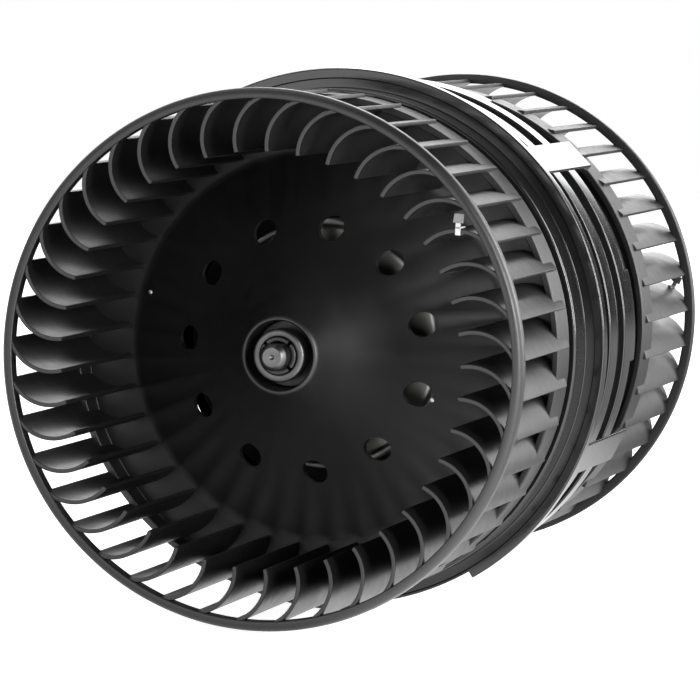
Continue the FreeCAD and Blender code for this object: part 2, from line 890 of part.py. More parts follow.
def armature_windings():
    """Copper coils in the slots, joined by their end turns."""
    low = slot_root_radius + winding_inset
    high = slot_tip_radius - winding_inset
    rings = [
        turned([
            (low, winding_front, 2.0),
            (high, winding_front, 2.0),
            (high, core_front - slide_clearance, 0),
            (low, core_front - slide_clearance, 0),
        ]),
        turned([
            (low, core_rear + slide_clearance, 0),
            (high, core_rear + slide_clearance, 0),
            (high, winding_rear, 2.0),
            (low, winding_rear, 2.0),
        ]),
    ]
    coil = slot_shape(winding_inset, core_front - 1, core_rear + 1)
    return rings[0].multiFuse(rings[1:] + ring_of(coil, slot_count, 0))


def commutator():
    """Copper bars, each with its hook, as separate solids."""
    inner = commutator_radius - commutator_bar_height
    hook_radius = commutator_radius + commutator_hook_height
    ring = turned([
        (inner, commutator_front, 0),
        (hook_radius, commutator_front, 0),
        (hook_radius, commutator_front + commutator_hook_width, 0),
        (commutator_radius, commutator_front + commutator_hook_width, 0),
        (commutator_radius, commutator_rear, 0),
        (inner, commutator_rear, 0),
    ])
    slit = block(commutator_slit, commutator_front, commutator_rear, inner - 1, hook_radius + 1)
    return ring.cut(Part.makeCompound(ring_of(slit, slot_count, 180.0 / slot_count)))


def commutator_sleeve():
    """Moulded sleeve that holds the copper bars on the shaft."""
    outer = commutator_radius - commutator_bar_height - seat_clearance
    return tube(shaft_radius + running_clearance, outer, winding_rear, sleeve_rear)


def brush():
    """Upper carbon brush, with its face hollowed to the commutator."""
    start = brush_middle - brush_depth / 2
    low = commutator_radius * 0.9
    carbon = block(brush_width, start, start + brush_depth, low, brush_top)
    return carbon.cut(Part.makeCylinder(brush_face_radius, brush_depth, Vector(0, start, 0), along))


def brush_holder():
    """Brass box that guides the upper brush, on two feet that reach the card."""
    inner_width = brush_width + 2 * slide_clearance
    inner_start = brush_middle - brush_depth / 2 - slide_clearance
    inner_end = brush_middle + brush_depth / 2 + slide_clearance
    outer_width = inner_width + 2 * holder_wall
    box = block(outer_width, inner_start - holder_wall, inner_end + holder_wall, holder_root, holder_top)
    guide = block(inner_width, inner_start, inner_end, holder_root, holder_top - holder_wall)
    feet = []
    for place in holder_foot_places:
        low = holder_root + place
        feet.append(block(outer_width, inner_end, card_front, low, low + holder_foot_thickness))
    return box.multiFuse(feet).cut(guide)


def brush_spring():
    """Coil spring between the upper brush and its holder's end."""
    wire_radius = spring_wire / 2
    rise = spring_length - spring_wire - 2 * seat_clearance
    path = Part.makeHelix(rise / spring_turns, rise, spring_radius)
    corners = []
    for i in range(spring_wire_sides + 1):
        turn = 2 * math.pi * i / spring_wire_sides
        side = spring_radius + wire_radius * math.cos(turn)
        corners.append(Vector(side, 0, wire_radius * math.sin(turn)))
    coil = Part.Wire(path).makePipeShell([Part.makePolygon(corners)], True, True)
    coil.translate(Vector(0, brush_middle, brush_top + seat_clearance + wire_radius))
    return coil


def lower(shape):
    """The lower copy of a piece of the brush gear."""
    return spun(shape, 180.0)


def brush_card():
    """Insulating card that carries the brush gear."""
    return tube(card_hole_radius, can_inner_radius - 2 * slide_clearance, card_front, card_rear)


def choke_coil():
    """Close-wound copper coil, upright."""
    radius = choke_core_radius + seat_clearance
    length = choke_coil_turns * choke_wire
    points = [Vector(radius, -length / 2, 0)]
    edges = []
    for i in range(choke_coil_turns):
        start = -length / 2 + i * choke_wire
        crest = Vector(radius + choke_wire, start + choke_wire / 2, 0)
        turn_start = Vector(radius + choke_wire / 2, start, 0)
        turn_end = Vector(radius + choke_wire / 2, start + choke_wire, 0)
        edges.append(Part.Arc(turn_start, crest, turn_end).toShape())
    base_start = Vector(radius + choke_wire / 2, -length / 2, 0)
    base_end = Vector(radius + choke_wire / 2, length / 2, 0)
    top = Vector(radius, length / 2, 0)
    edges.append(Part.LineSegment(base_end, top).toShape())
    edges.append(Part.LineSegment(top, points[0]).toShape())
    edges.append(Part.LineSegment(points[0], base_start).toShape())
    return Part.Face(Part.Wire(edges)).revolve(origin, along, 360)


def on_card(shape, side):
    """Stand a round choke piece upright beside the brushes, against the card."""
    upright = shape.copy()
    upright.rotate(origin, Vector(1, 0, 0), 90)
    reach = choke_core_radius + seat_clearance + choke_wire + slide_clearance
    upright.translate(Vector(side * choke_place, card_front - reach, 0))
    return upright


def choke_cores():
    """Ferrite rods of the two chokes."""
    rod_start = Vector(0, -choke_core_length / 2, 0)
    rod = Part.makeCylinder(choke_core_radius, choke_core_length, rod_start, along)
    return Part.makeCompound([on_card(rod, side) for side in (-1, 1)])


def choke_coils():
    """Coils of the two chokes."""
    return Part.makeCompound([on_card(choke_coil(), side) for side in (-1, 1)])


def capacitor():
    """Suppression capacitor on the card."""
    low = capacitor_place_z - capacitor_height / 2
    high = low + capacitor_height
    end = card_front - slide_clearance
    body = block(capacitor_width, end - capacitor_depth, end, low, high, capacitor_place_x)
    return body.makeFillet(round_edge, body.Edges)


def connector_housing():
    """Connector shroud that stands out between two bars, with its foot on the rear web."""
    start = connector_middle - shroud_depth / 2
    end = connector_middle + shroud_depth / 2
    shroud = block(shroud_width, start, end, shroud_base_radius, shroud_mouth_radius)
    height = shroud_mouth_radius - shroud_base_radius
    corners = [e for e in shroud.Edges if abs(e.Length - height) < 0.01]
    shroud = shroud.makeFillet(2 * round_edge, corners)
    cavity_low = shroud_base_radius + shroud_floor
    cavity_width = shroud_width - 2 * shroud_wall
    cavity_start = start + shroud_wall
    cavity_end = end - shroud_wall
    cavity = block(cavity_width, cavity_start, cavity_end, cavity_low, shroud_mouth_radius)
    foot_end = rear_web_front - seat_clearance
    foot = block(foot_width, foot_end - foot_depth, foot_end, foot_root_radius, shroud_base_radius + 1)
    body = shroud.cut(cavity).fuse(foot)
    slots = []
    for side in (-1, 1):
        middle_x = side * terminal_spacing / 2
        width = terminal_width + 2 * seat_clearance
        half = terminal_thickness / 2 + seat_clearance
        slot_start = connector_middle - half
        slot_end = connector_middle + half
        slots.append(block(width, slot_start, slot_end, foot_root_radius, cavity_low, middle_x))
    return spun(body.cut(Part.makeCompound(slots)), connector_angle)


def terminal(side):
    """Stamped terminal: a blade in the shroud, bent twice to reach the brush card."""
    half = terminal_thickness / 2
    place = side * terminal_spacing / 2
    blade_end = shroud_mouth_radius - terminal_tip_setback
    front = connector_middle - half
    rear = card_rear + seat_clearance
    plug_blade = block(terminal_width, front, connector_middle + half, strip_radius, blade_end, place)
    rear_end = rear + terminal_thickness
    strip_top = strip_radius + terminal_thickness
    leg = block(strip_width, front, rear_end, strip_radius, strip_top, place)
    root = block(strip_width, rear, rear_end, strip_root_radius, strip_top, place)
    return spun(plug_blade.multiFuse([leg, root]).removeSplitter(), connector_angle)


ring_shape = clamp_ring()

parts = {
    "front_wheel": front_of(wheel(front_pin_places)),
    "rear_wheel": rear_of(wheel(rear_pin_places)),
    "front_clamp_ring": front_of(ring_shape),
    "rear_clamp_ring": rear_of(ring_shape),
    "front_balance_clips": front_of(balance_clips(front_clip_blades)),
    "rear_balance_clips": rear_of(balance_clips(rear_clip_blades)),
    "front_balance_pins": front_of(balance_pins(front_pin_places)),
    "rear_balance_pins": rear_of(balance_pins(rear_pin_places)),
    "shaft": shaft(),
    "front_carrier": front_carrier(),
    "rear_carrier": rear_carrier(),
    "carrier_screws": carrier_screws(),
    "front_damper": damper(front_collar_front, -1),
    "rear_damper": damper(rear_collar_rear, 1),
    "motor_can": motor_can(),
    "can_cover": can_cover(),
    "front_bearing": bearing(front_bearing_middle),
    "rear_bearing": bearing(rear_bearing_middle),
    "front_bearing_spring": bearing_spring(front_bearing_middle, 1),
    "rear_bearing_spring": bearing_spring(rear_bearing_middle, -1),
    "front_spacer": spacer(front_bearing_middle + bearing_length / 2 + end_play, winding_front),
    "rear_spacer": spacer(sleeve_rear, rear_bearing_middle - bearing_length / 2 - end_play),
    "right_magnet": magnet(90.0),
    "left_magnet": magnet(270.0),
    "magnet_springs": magnet_springs(),
    "armature_core": armature_core(),
    "armature_windings": armature_windings(),
    "commutator": commutator(),
    "commutator_sleeve": commutator_sleeve(),
    "upper_brush": brush(),
    "lower_brush": lower(brush()),
    "upper_brush_holder": brush_holder(),
    "lower_brush_holder": lower(brush_holder()),
    "upper_brush_spring": brush_spring(),
    "lower_brush_spring": lower(brush_spring()),
    "brush_card": brush_card(),
    "choke_cores": choke_cores(),
    "choke_coils": choke_coils(),
    "capacitor": capacitor(),
    "connector_housing": connector_housing(),
    "positive_terminal": terminal(-1),
    "negative_terminal": terminal(1),
}

os.makedirs("parts", exist_ok=True)
for node, shape in parts.items():
    shape.exportStep("parts/" + node + ".step")
    print(node, "solids", len(shape.Solids), "volume", round(shape.Volume, 1), "valid", shape.isValid())
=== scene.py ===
import bpy
import bmesh
import math
from mathutils import Matrix, Vector


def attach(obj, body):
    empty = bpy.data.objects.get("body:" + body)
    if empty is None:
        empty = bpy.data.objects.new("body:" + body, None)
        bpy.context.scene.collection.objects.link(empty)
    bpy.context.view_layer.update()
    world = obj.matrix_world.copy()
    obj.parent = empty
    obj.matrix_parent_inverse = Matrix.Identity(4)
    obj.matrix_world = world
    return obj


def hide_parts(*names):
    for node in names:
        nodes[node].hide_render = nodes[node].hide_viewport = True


# Cabin blower motor: two squirrel cage wheels on one shaft, the motor caged between them.
# Pieces are drawn in millimetres with the shaft along Y, then brought to metres.
# Angles run clockwise from straight up, seen from the front wheel.

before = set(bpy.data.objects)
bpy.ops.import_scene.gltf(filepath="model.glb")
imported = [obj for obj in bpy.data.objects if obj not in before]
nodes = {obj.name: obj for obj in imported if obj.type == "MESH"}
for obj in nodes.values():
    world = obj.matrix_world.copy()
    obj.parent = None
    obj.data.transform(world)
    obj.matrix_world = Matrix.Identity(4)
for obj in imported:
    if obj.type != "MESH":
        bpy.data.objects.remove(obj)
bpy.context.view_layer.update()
print("frame loaded,", len(nodes), "nodes")


past = 1.0    # how far a cutting shape reaches past what it cuts
slack = 0.05  # the smallest step left between two surfaces
hair = 0.01   # points nearer than this to a ring count as being on it


def toMetres(bm):
    bmesh.ops.scale(bm, verts=bm.verts, vec=(0.001, 0.001, 0.001))


def closeUp(bm):
    bmesh.ops.remove_doubles(bm, verts=bm.verts, dist=0.001)
    bmesh.ops.recalc_face_normals(bm, faces=bm.faces)


def onRing(vert, radius, place):
    return abs(math.hypot(vert.co.x, vert.co.z) - radius) < hair and abs(vert.co.y - place) < hair


def roundRings(bm, corners):
    # bevels the ring edges that a corner's third value asks for, widest first
    for width in sorted({c[2] for c in corners if c[2] > 0}, reverse=True):
        rings = [c for c in corners if c[2] == width]
        edges = [e for e in bm.edges
                 if any(all(onRing(v, c[0], c[1]) for v in e.verts) for c in rings)]
        bmesh.ops.bevel(bm, geom=edges, offset=width, affect="EDGES", profile=0.5, material=-1,
                        segments=3 if width < 1 else 6)


def turned(corners, steps):
    # corners are (radius, place along the shaft, corner round)
    bm = bmesh.new()
    verts = [bm.verts.new((c[0], c[1], 0)) for c in corners]
    edges = [bm.edges.new((a, b)) for a, b in zip(verts, verts[1:] + verts[:1])]
    bmesh.ops.spin(bm, geom=verts + edges, cent=(0, 0, 0), axis=(0, 1, 0), angle=2 * math.pi,
                   steps=steps, use_merge=True)
    closeUp(bm)
    roundRings(bm, corners)
    return bm


def softenEdges(bm, width, segments=2, sharpest=40):
    edges = [e for e in bm.edges
             if len(e.link_faces) == 2 and e.calc_face_angle(0) > math.radians(sharpest)]
    bmesh.ops.bevel(bm, geom=edges, offset=width, affect="EDGES", segments=segments,
                    profile=0.5, material=-1)


def boxed(width, start, end, low, high, side=0.0, soft=0.0):
    # box centred on x = side, from start to end along the shaft, from low to high in z
    bm = bmesh.new()
    bmesh.ops.create_cube(bm, size=1)
    bmesh.ops.scale(bm, verts=bm.verts, vec=(width, end - start, high - low))
    bmesh.ops.translate(bm, verts=bm.verts, vec=(side, (start + end) / 2, (low + high) / 2))
    if soft > 0:
        softenEdges(bm, soft)
    return bm


def rod(radius, start, end, z=0.0, segments=32):
    # round bar along the shaft's direction
    bm = bmesh.new()
    bmesh.ops.create_cone(bm, cap_ends=True, segments=segments, radius1=radius, radius2=radius,
                          depth=end - start)
    bmesh.ops.rotate(bm, verts=bm.verts, cent=(0, 0, 0), matrix=Matrix.Rotation(math.pi / 2, 3, "X"))
    bmesh.ops.translate(bm, verts=bm.verts, vec=(0, (start + end) / 2, z))
    return bm


def spin(bm, angle):
    bmesh.ops.rotate(bm, verts=bm.verts, cent=(0, 0, 0),
                     matrix=Matrix.Rotation(math.radians(angle), 3, "Y"))
    return bm


def addTo(target, *sources):
    for source in sources:
        mesh = bpy.data.meshes.new("carry")
        source.to_mesh(mesh)
        target.from_mesh(mesh)
        bpy.data.meshes.remove(mesh)
        source.free()


def addRing(target, shape, count, firstAngle, places=None):
    for i in range(count):
        if places is None or i in places:
            addTo(target, spin(shape.copy(), firstAngle + i * 360.0 / count))
    shape.free()


def joined(shape, *others):
    addTo(shape, *others)
    return shape


def boolean(bm, cutter, operation):
    body = bpy.data.objects.new("body", bpy.data.meshes.new("body"))
    tool = bpy.data.objects.new("tool", bpy.data.meshes.new("tool"))
    for target, source in ((body, bm), (tool, cutter)):
        source.to_mesh(target.data)
        bpy.context.scene.collection.objects.link(target)
        source.free()
    cut = body.modifiers.new("cut", "BOOLEAN")
    cut.operation = operation
    cut.solver = "EXACT"
    cut.object = tool
    bpy.context.view_layer.update()
    result = bpy.data.meshes.new_from_object(body.evaluated_get(bpy.context.evaluated_depsgraph_get()))
    made = bmesh.new()
    made.from_mesh(result)
    for target in (body, tool):
        mesh = target.data
        bpy.data.objects.remove(target)
        bpy.data.meshes.remove(mesh)
    bpy.data.meshes.remove(result)
    return made


def cutAway(bm, cutter):
    return boolean(bm, cutter, "DIFFERENCE")


def polar(radius, angle, place=0.0):
    turn = math.radians(angle)
    return Vector((radius * math.sin(turn), place, radius * math.cos(turn)))


def circleThrough(a, b, c):
    # centre of the circle through three points of one plane
    ab, ac = b - a, c - a
    normal = ab.cross(ac)
    return a + (normal.cross(ab) * ac.length_squared + ac.cross(normal) * ab.length_squared) \
        / (2 * normal.length_squared)


def sectorShape(inner, outer, start, end, span):
    # stretch of a ring that spans an angle, centred straight up, its ends closed
    bm = bmesh.new()
    verts = [bm.verts.new((0, place, radius))
             for radius, place in ((inner, start), (outer, start), (outer, end), (inner, end))]
    edges = [bm.edges.new((a, b)) for a, b in zip(verts, verts[1:] + verts[:1])]
    bmesh.ops.spin(bm, geom=verts + edges, cent=(0, 0, 0), axis=(0, 1, 0), angle=math.radians(span),
                   steps=16)
    bmesh.ops.holes_fill(bm, edges=[e for e in bm.edges if e.is_boundary], sides=4)
    closeUp(bm)
    middle = sum((v.co for v in bm.verts), Vector()) / len(bm.verts)
    return spin(bm, -math.degrees(math.atan2(middle.x, middle.z)))


def finishPiece(bm, name, material, body, replaced):
    toMetres(bm)
    mesh = bpy.data.meshes.new(name)
    bm.to_mesh(mesh)
    bm.free()
    for polygon in mesh.polygons:
        polygon.use_smooth = True
    mesh.set_sharp_from_angle(angle=math.radians(38))
    piece = bpy.data.objects.new(name, mesh)
    bpy.context.scene.collection.objects.link(piece)
    mesh.materials.append(material)
    even = piece.modifiers.new("evenShading", "WEIGHTED_NORMAL")
    even.keep_sharp = True
    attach(piece, body)
    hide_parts(replaced)
    print("made", name, len(mesh.polygons), "faces")


def newFinish(name):
    material = bpy.data.materials.new(name)
    material.use_nodes = True
    return material, material.node_tree, material.node_tree.nodes["Principled BSDF"]


def addNode(tree, kind, inputs=None, **settings):
    node = tree.nodes.new(kind)
    for key, value in settings.items():
        setattr(node, key, value)
    for key, value in (inputs or {}).items():
        if isinstance(value, bpy.types.NodeSocket):
            tree.links.new(value, node.inputs[key])
        else:
            node.inputs[key].default_value = value
    return node


def noiseOn(tree, place, scale, detail, roughness):
    return addNode(tree, "ShaderNodeTexNoise", {"Vector": place, "Scale": scale, "Detail": detail,
                                                "Roughness": roughness}).outputs["Fac"]


def spread(tree, value, low, high, fromLow=0.3, fromHigh=0.7):
    values = {"Value": value, "From Min": fromLow, "From Max": fromHigh, "To Min": low, "To Max": high}
    return addNode(tree, "ShaderNodeMapRange", values).outputs["Result"]


def blendColours(tree, value, dark, light):
    node = addNode(tree, "ShaderNodeValToRGB", {"Fac": value})
    for element, place, colour in zip(node.color_ramp.elements, (0.3, 0.7), (dark, light)):
        element.position = place
        element.color = (*colour, 1.0)
    return node.outputs["Color"]


def bumps(tree, shader, layers):
    # layers are (height value, distance in metres, strength), coarse first
    last = None
    for height, distance, strength in layers:
        values = {"Height": height, "Distance": distance, "Strength": strength}
        if last is not None:
            values["Normal"] = last
        last = addNode(tree, "ShaderNodeBump", values).outputs["Normal"]
    tree.links.new(last, shader.inputs["Normal"])


plasticMarks = {
    # noise scale, detail and roughness, then depth in metres
    "flow": (26.0, 4.0, 0.55, 0.0005),
    "dust": (170.0, 6.0, 0.7, 0.0001),
    "fine": (1500.0, 2.0, 0.6, 0.00003),
    "flowStrength": 0.08,
    "refraction": 1.49,
}


def mouldedPlastic(name, dark, light, glossLow, glossHigh, grain):
    # injection moulded plastic: faint flow marks, a fine spark grain and a thin film of dust
    material, tree, shader = newFinish(name)
    place = addNode(tree, "ShaderNodeTexCoord").outputs["Object"]
    flow, dust, fine = (noiseOn(tree, place, *plasticMarks[k][:3]) for k in ("flow", "dust", "fine"))
    flowDepth, dustDepth, fineDepth = (plasticMarks[k][3] for k in ("flow", "dust", "fine"))
    tree.links.new(blendColours(tree, flow, dark, light), shader.inputs["Base Color"])
    tree.links.new(spread(tree, dust, glossLow, glossHigh), shader.inputs["Roughness"])
    bumps(tree, shader, [(flow, flowDepth, plasticMarks["flowStrength"]), (dust, dustDepth, grain / 2),
                         (fine, fineDepth, grain)])
    shader.inputs["IOR"].default_value = plasticMarks["refraction"]
    return material


def latheMarks(tree, across, along):
    # coordinates that make lines run around the shaft: radius, place along it, nothing
    place = addNode(tree, "ShaderNodeTexCoord").outputs["Object"]
    parts = addNode(tree, "ShaderNodeSeparateXYZ", {"Vector": place})
    flat = addNode(tree, "ShaderNodeCombineXYZ", {"X": parts.outputs["X"], "Y": parts.outputs["Z"]})
    radius = addNode(tree, "ShaderNodeVectorMath", {0: flat.outputs[0]}, operation="LENGTH")
    spun = addNode(tree, "ShaderNodeCombineXYZ", {"X": radius.outputs["Value"], "Y": parts.outputs["Y"]})
    scaled = addNode(tree, "ShaderNodeVectorMath", {0: spun.outputs[0], 1: (across, along, 1)},
                     operation="MULTIPLY")
    return place, scaled.outputs[0]


metalMarks = {
    # noise scale where it is fixed, detail and roughness, then depth in metres and strength
    "stain": (120.0, 5.0, 0.6, 0.00008, 0.08),
    "lines": (3.0, 0.6, 0.00002, 0.2),
}


def metalFinish(name, dark, light, roughLow, roughHigh, lineScale, across=1.0, along=1.0):
    # drawn or turned metal: fine lines the way the tool ran, and small stains
    material, tree, shader = newFinish(name)
    place, marks = latheMarks(tree, across, along)
    lineDetail, lineRoughness, lineDepth, lineStrength = metalMarks["lines"]
    lines = noiseOn(tree, marks, lineScale, lineDetail, lineRoughness)
    stain = noiseOn(tree, place, *metalMarks["stain"][:3])
    stainDepth, stainStrength = metalMarks["stain"][3:]
    tree.links.new(blendColours(tree, stain, dark, light), shader.inputs["Base Color"])
    tree.links.new(spread(tree, lines, roughLow, roughHigh), shader.inputs["Roughness"])
    bumps(tree, shader, [(stain, stainDepth, stainStrength), (lines, lineDepth, lineStrength)])
    shader.inputs["Metallic"].default_value = 1.0
    return material


wheelPlastic = mouldedPlastic("wheelPlastic", (0.004, 0.004, 0.0042), (0.006, 0.006, 0.0063),
                              0.36, 0.46, 0.2)
carrierPlastic = mouldedPlastic("carrierPlastic", (0.007, 0.007, 0.0073), (0.011, 0.011, 0.0115),
                                0.10, 0.17, 0.15)
connectorPlastic = mouldedPlastic("connectorPlastic", (0.016, 0.016, 0.017), (0.025, 0.025, 0.026),
                                  0.4, 0.52, 0.3)
damperRubber = mouldedPlastic("damperRubber", (0.010, 0.010, 0.010), (0.020, 0.020, 0.019),
                              0.62, 0.8, 0.5)
sleeveResin = mouldedPlastic("sleeveResin", (0.05, 0.022, 0.012), (0.09, 0.04, 0.02), 0.4, 0.55, 0.3)
spacerFibre = mouldedPlastic("spacerFibre", (0.20, 0.12, 0.07), (0.30, 0.19, 0.11), 0.6, 0.8, 0.6)
cardPaper = mouldedPlastic("cardPaper", (0.17, 0.085, 0.03), (0.26, 0.14, 0.06), 0.45, 0.6, 0.4)
capacitorCase = mouldedPlastic("capacitorCase", (0.25, 0.10, 0.012), (0.34, 0.15, 0.02), 0.25, 0.4, 0.2)
magnetFerrite = mouldedPlastic("magnetFerrite", (0.035, 0.034, 0.033), (0.06, 0.058, 0.056),
                               0.5, 0.7, 0.6)
brushCarbon = mouldedPlastic("brushCarbon", (0.02, 0.02, 0.021), (0.045, 0.045, 0.046), 0.45, 0.65, 0.7)
shaftSteel = metalFinish("shaftSteel", (0.07, 0.07, 0.07), (0.12, 0.12, 0.119), 0.3, 0.42, 2600.0)
ringSteel = metalFinish("ringSteel", (0.06, 0.06, 0.062), (0.095, 0.095, 0.095), 0.32, 0.46, 2200.0)
clipSteel = metalFinish("clipSteel", (0.34, 0.34, 0.34), (0.46, 0.46, 0.46), 0.28, 0.42, 900.0)
pinSteel = metalFinish("pinSteel", (0.26, 0.26, 0.26), (0.38, 0.38, 0.38), 0.30, 0.44, 900.0)
screwSteel = metalFinish("screwSteel", (0.40, 0.38, 0.33), (0.55, 0.52, 0.45), 0.3, 0.45, 700.0)
springSteel = metalFinish("springSteel", (0.40, 0.40, 0.41), (0.58, 0.58, 0.58), 0.25, 0.4, 600.0)
canSteel = metalFinish("canSteel", (0.42, 0.42, 0.40), (0.56, 0.56, 0.53), 0.32, 0.48, 900.0, 1.0, 0.08)
coreSteel = metalFinish("coreSteel", (0.14, 0.14, 0.145), (0.24, 0.24, 0.245),
                        0.4, 0.6, 900.0, 0.1, 3.0)
windingCopper = metalFinish("windingCopper", (0.42, 0.13, 0.05), (0.62, 0.24, 0.10), 0.28, 0.42, 900.0)
barCopper = metalFinish("barCopper", (0.52, 0.24, 0.13), (0.68, 0.36, 0.21), 0.25, 0.4, 1200.0)
bearingBronze = metalFinish("bearingBronze", (0.34, 0.20, 0.08), (0.48, 0.30, 0.14), 0.45, 0.62, 900.0)
holderBrass = metalFinish("holderBrass", (0.50, 0.34, 0.12), (0.66, 0.47, 0.19), 0.28, 0.42, 600.0)
terminalTin = metalFinish("terminalTin", (0.52, 0.50, 0.44), (0.68, 0.66, 0.60), 0.25, 0.4, 600.0)

finishOfNode = {
    "front_wheel": wheelPlastic, "rear_wheel": wheelPlastic,
    "front_clamp_ring": ringSteel, "rear_clamp_ring": ringSteel,
    "front_balance_clips": clipSteel, "rear_balance_clips": clipSteel,
    "front_balance_pins": pinSteel, "rear_balance_pins": pinSteel,
    "shaft": shaftSteel, "front_carrier": carrierPlastic, "rear_carrier": carrierPlastic,
    "carrier_screws": screwSteel, "front_damper": damperRubber, "rear_damper": damperRubber,
    "motor_can": canSteel, "can_cover": canSteel,
    "front_bearing": bearingBronze, "rear_bearing": bearingBronze,
    "front_bearing_spring": springSteel, "rear_bearing_spring": springSteel,
    "front_spacer": spacerFibre, "rear_spacer": spacerFibre,
    "right_magnet": magnetFerrite, "left_magnet": magnetFerrite, "magnet_springs": springSteel,
    "armature_core": coreSteel, "armature_windings": windingCopper,
    "commutator": barCopper, "commutator_sleeve": sleeveResin,
    "upper_brush": brushCarbon, "lower_brush": brushCarbon,
    "upper_brush_holder": holderBrass, "lower_brush_holder": holderBrass,
    "upper_brush_spring": springSteel, "lower_brush_spring": springSteel,
    "brush_card": cardPaper, "choke_cores": magnetFerrite, "choke_coils": windingCopper,
    "capacitor": capacitorCase, "connector_housing": connectorPlastic,
    "positive_terminal": terminalTin, "negative_terminal": terminalTin,
}
for nodeName, node in nodes.items():
    node.data.materials.clear()
    node.data.materials.append(finishOfNode[nodeName])
print("finishes made")


wheelSizes = {
    "steps": 242,
    "radius": 75.0,
    "length": 64.0,
    "rimInner": 72.0,
    "rimWidth": 4.2,
    "rimRound": 2.0,
    "bladeCount": 41,
    "bladeFirst": 2.6,
    "bladeRoot": (57.5, 0.0),  # distance from the shaft, and angle ahead of the root
    "bladeBelly": (65.9, 1.1),
    "bladeTip": (72.9, 7.8),
    "bladeThickness": 1.2,
    "bladeSteps": 12,
    "bladeStart": 3.7,
    "bladeEnd": 63.4,
    "bladeRound": 0.3,
    "rimEdge": 0.5,
    "edge": 0.4,
    "fineEdge": 0.3,
    "hubRing": (70.4, 72.4, 13.0),  # inner and outer radius, width
    "plate": (2.6, 4.8),  # back and front face
    "domeNose": (11.4, 43.4),  # radius and height, as for its edge
    "domeEdge": (56.8, 4.8),
    "domeSag": 3.8,
    "domeWall": 2.6,
    "domeSteps": 22,
    "holeCount": 11,
    "holeRadius": 3.55,
    "holeCircle": 35.1,
    "holeFirst": 12.2,
    "holeStart": 5.0,
    "moat": (9.6, 34.9),  # radius and end, as for its wall, the collet and the sleeve
    "moatRound": 0.6,
    "moatWall": (11.8, 32.4),
    "collet": (5.3, 45.7),
    "bore": 4.03,
    "sleeve": (7.6, 17.9),
    "slotCount": 4,
    "slotFirst": 45.0,
    "slotWidth": 1.0,
    "slotDepth": 6.5,
    "slotRoot": 2.0,
    "frontPlace": -16.6,
    "rearPlace": 76.8,
}


def domeCircle():
    # nose, edge and centre of the hollow curve that runs from the nose out to the back plate
    w = wheelSizes
    nose, edge = Vector((*w["domeNose"], 0)), Vector((*w["domeEdge"], 0))
    chord = (edge - nose).normalized()
    hollow = (nose + edge) / 2 + Vector((chord.y, -chord.x, 0)) * w["domeSag"]
    return nose, edge, circleThrough(nose, hollow, edge)


def domeLine(drop):
    # points of the dome's curve, drawn by turning one point, nose first
    nose, edge, centre = domeCircle()
    turn = (nose - centre).cross(edge - centre).z
    bm = bmesh.new()
    bmesh.ops.spin(bm, geom=[bm.verts.new(nose)], cent=centre, axis=(0, 0, math.copysign(1, turn)),
                   angle=(nose - centre).angle(edge - centre), steps=wheelSizes["domeSteps"])
    points = sorted(((v.co.x, v.co.y - drop) for v in bm.verts), key=lambda p: p[0])
    bm.free()
    return points


def domeHeight(radius):
    nose, edge, centre = domeCircle()
    return centre.y - math.sqrt((nose - centre).length_squared - (radius - centre.x) ** 2)


def hubShell():
    w = wheelSizes
    edge, fineEdge = w["edge"], w["fineEdge"]
    upper, lower = domeLine(0), domeLine(w["domeWall"])
    ringInner, ringOuter, ringWidth = w["hubRing"]
    plateBack, plateFront = w["plate"]
    moatRadius, moatFloor = w["moat"]
    wallRadius, wallEnd = w["moatWall"]
    colletRadius, colletEnd = w["collet"]
    sleeveRadius, sleeveEnd = w["sleeve"]
    (noseRadius, noseTop), (nextRadius, nextTop) = upper[:2]
    slope = (noseTop - nextTop) / (nextRadius - noseRadius)
    lipTop = noseTop + slope * (noseRadius - moatRadius)  # where the dome's line would meet the moat
    lipRound = math.hypot(noseRadius - moatRadius, lipTop - noseTop) - slack
    corners = [(p[0], p[1], 0) for p in upper]
    corners += [
        (ringInner, plateFront, edge), (ringInner, ringWidth, edge), (ringOuter, ringWidth, edge),
        (ringOuter, 0, edge), (ringInner, 0, edge), (ringInner, plateBack, 0),
        (lower[-1][0], plateBack, 0),
    ]
    corners += [(p[0], p[1], 0) for p in reversed(lower) if p[0] > wallRadius]
    corners += [
        (wallRadius, domeHeight(wallRadius) - w["domeWall"], 0), (wallRadius, wallEnd, 0),
        (sleeveRadius, wallEnd, 0), (sleeveRadius, sleeveEnd, edge), (w["bore"], sleeveEnd, edge),
        (w["bore"], colletEnd, fineEdge), (colletRadius, colletEnd, edge), (colletRadius, moatFloor, 0),
        (moatRadius, moatFloor, w["moatRound"]), (moatRadius, lipTop, lipRound),
    ]
    shell = turned(corners, w["steps"])
    cutter = bmesh.new()
    hole = rod(w["holeRadius"], w["holeStart"], noseTop, z=w["holeCircle"], segments=40)
    addRing(cutter, hole, w["holeCount"], w["holeFirst"])
    slot = boxed(w["slotWidth"], colletEnd - w["slotDepth"], colletEnd + past, w["slotRoot"],
                 colletRadius + past)
    addRing(cutter, slot, w["slotCount"], w["slotFirst"])
    return cutAway(shell, cutter)


def bladeLine():
    # root, tip and centre of one blade's curved section
    w = wheelSizes
    root, belly, tip = (polar(*w[k], w["bladeStart"]) for k in ("bladeRoot", "bladeBelly", "bladeTip"))
    return root, tip, circleThrough(root, belly, tip)


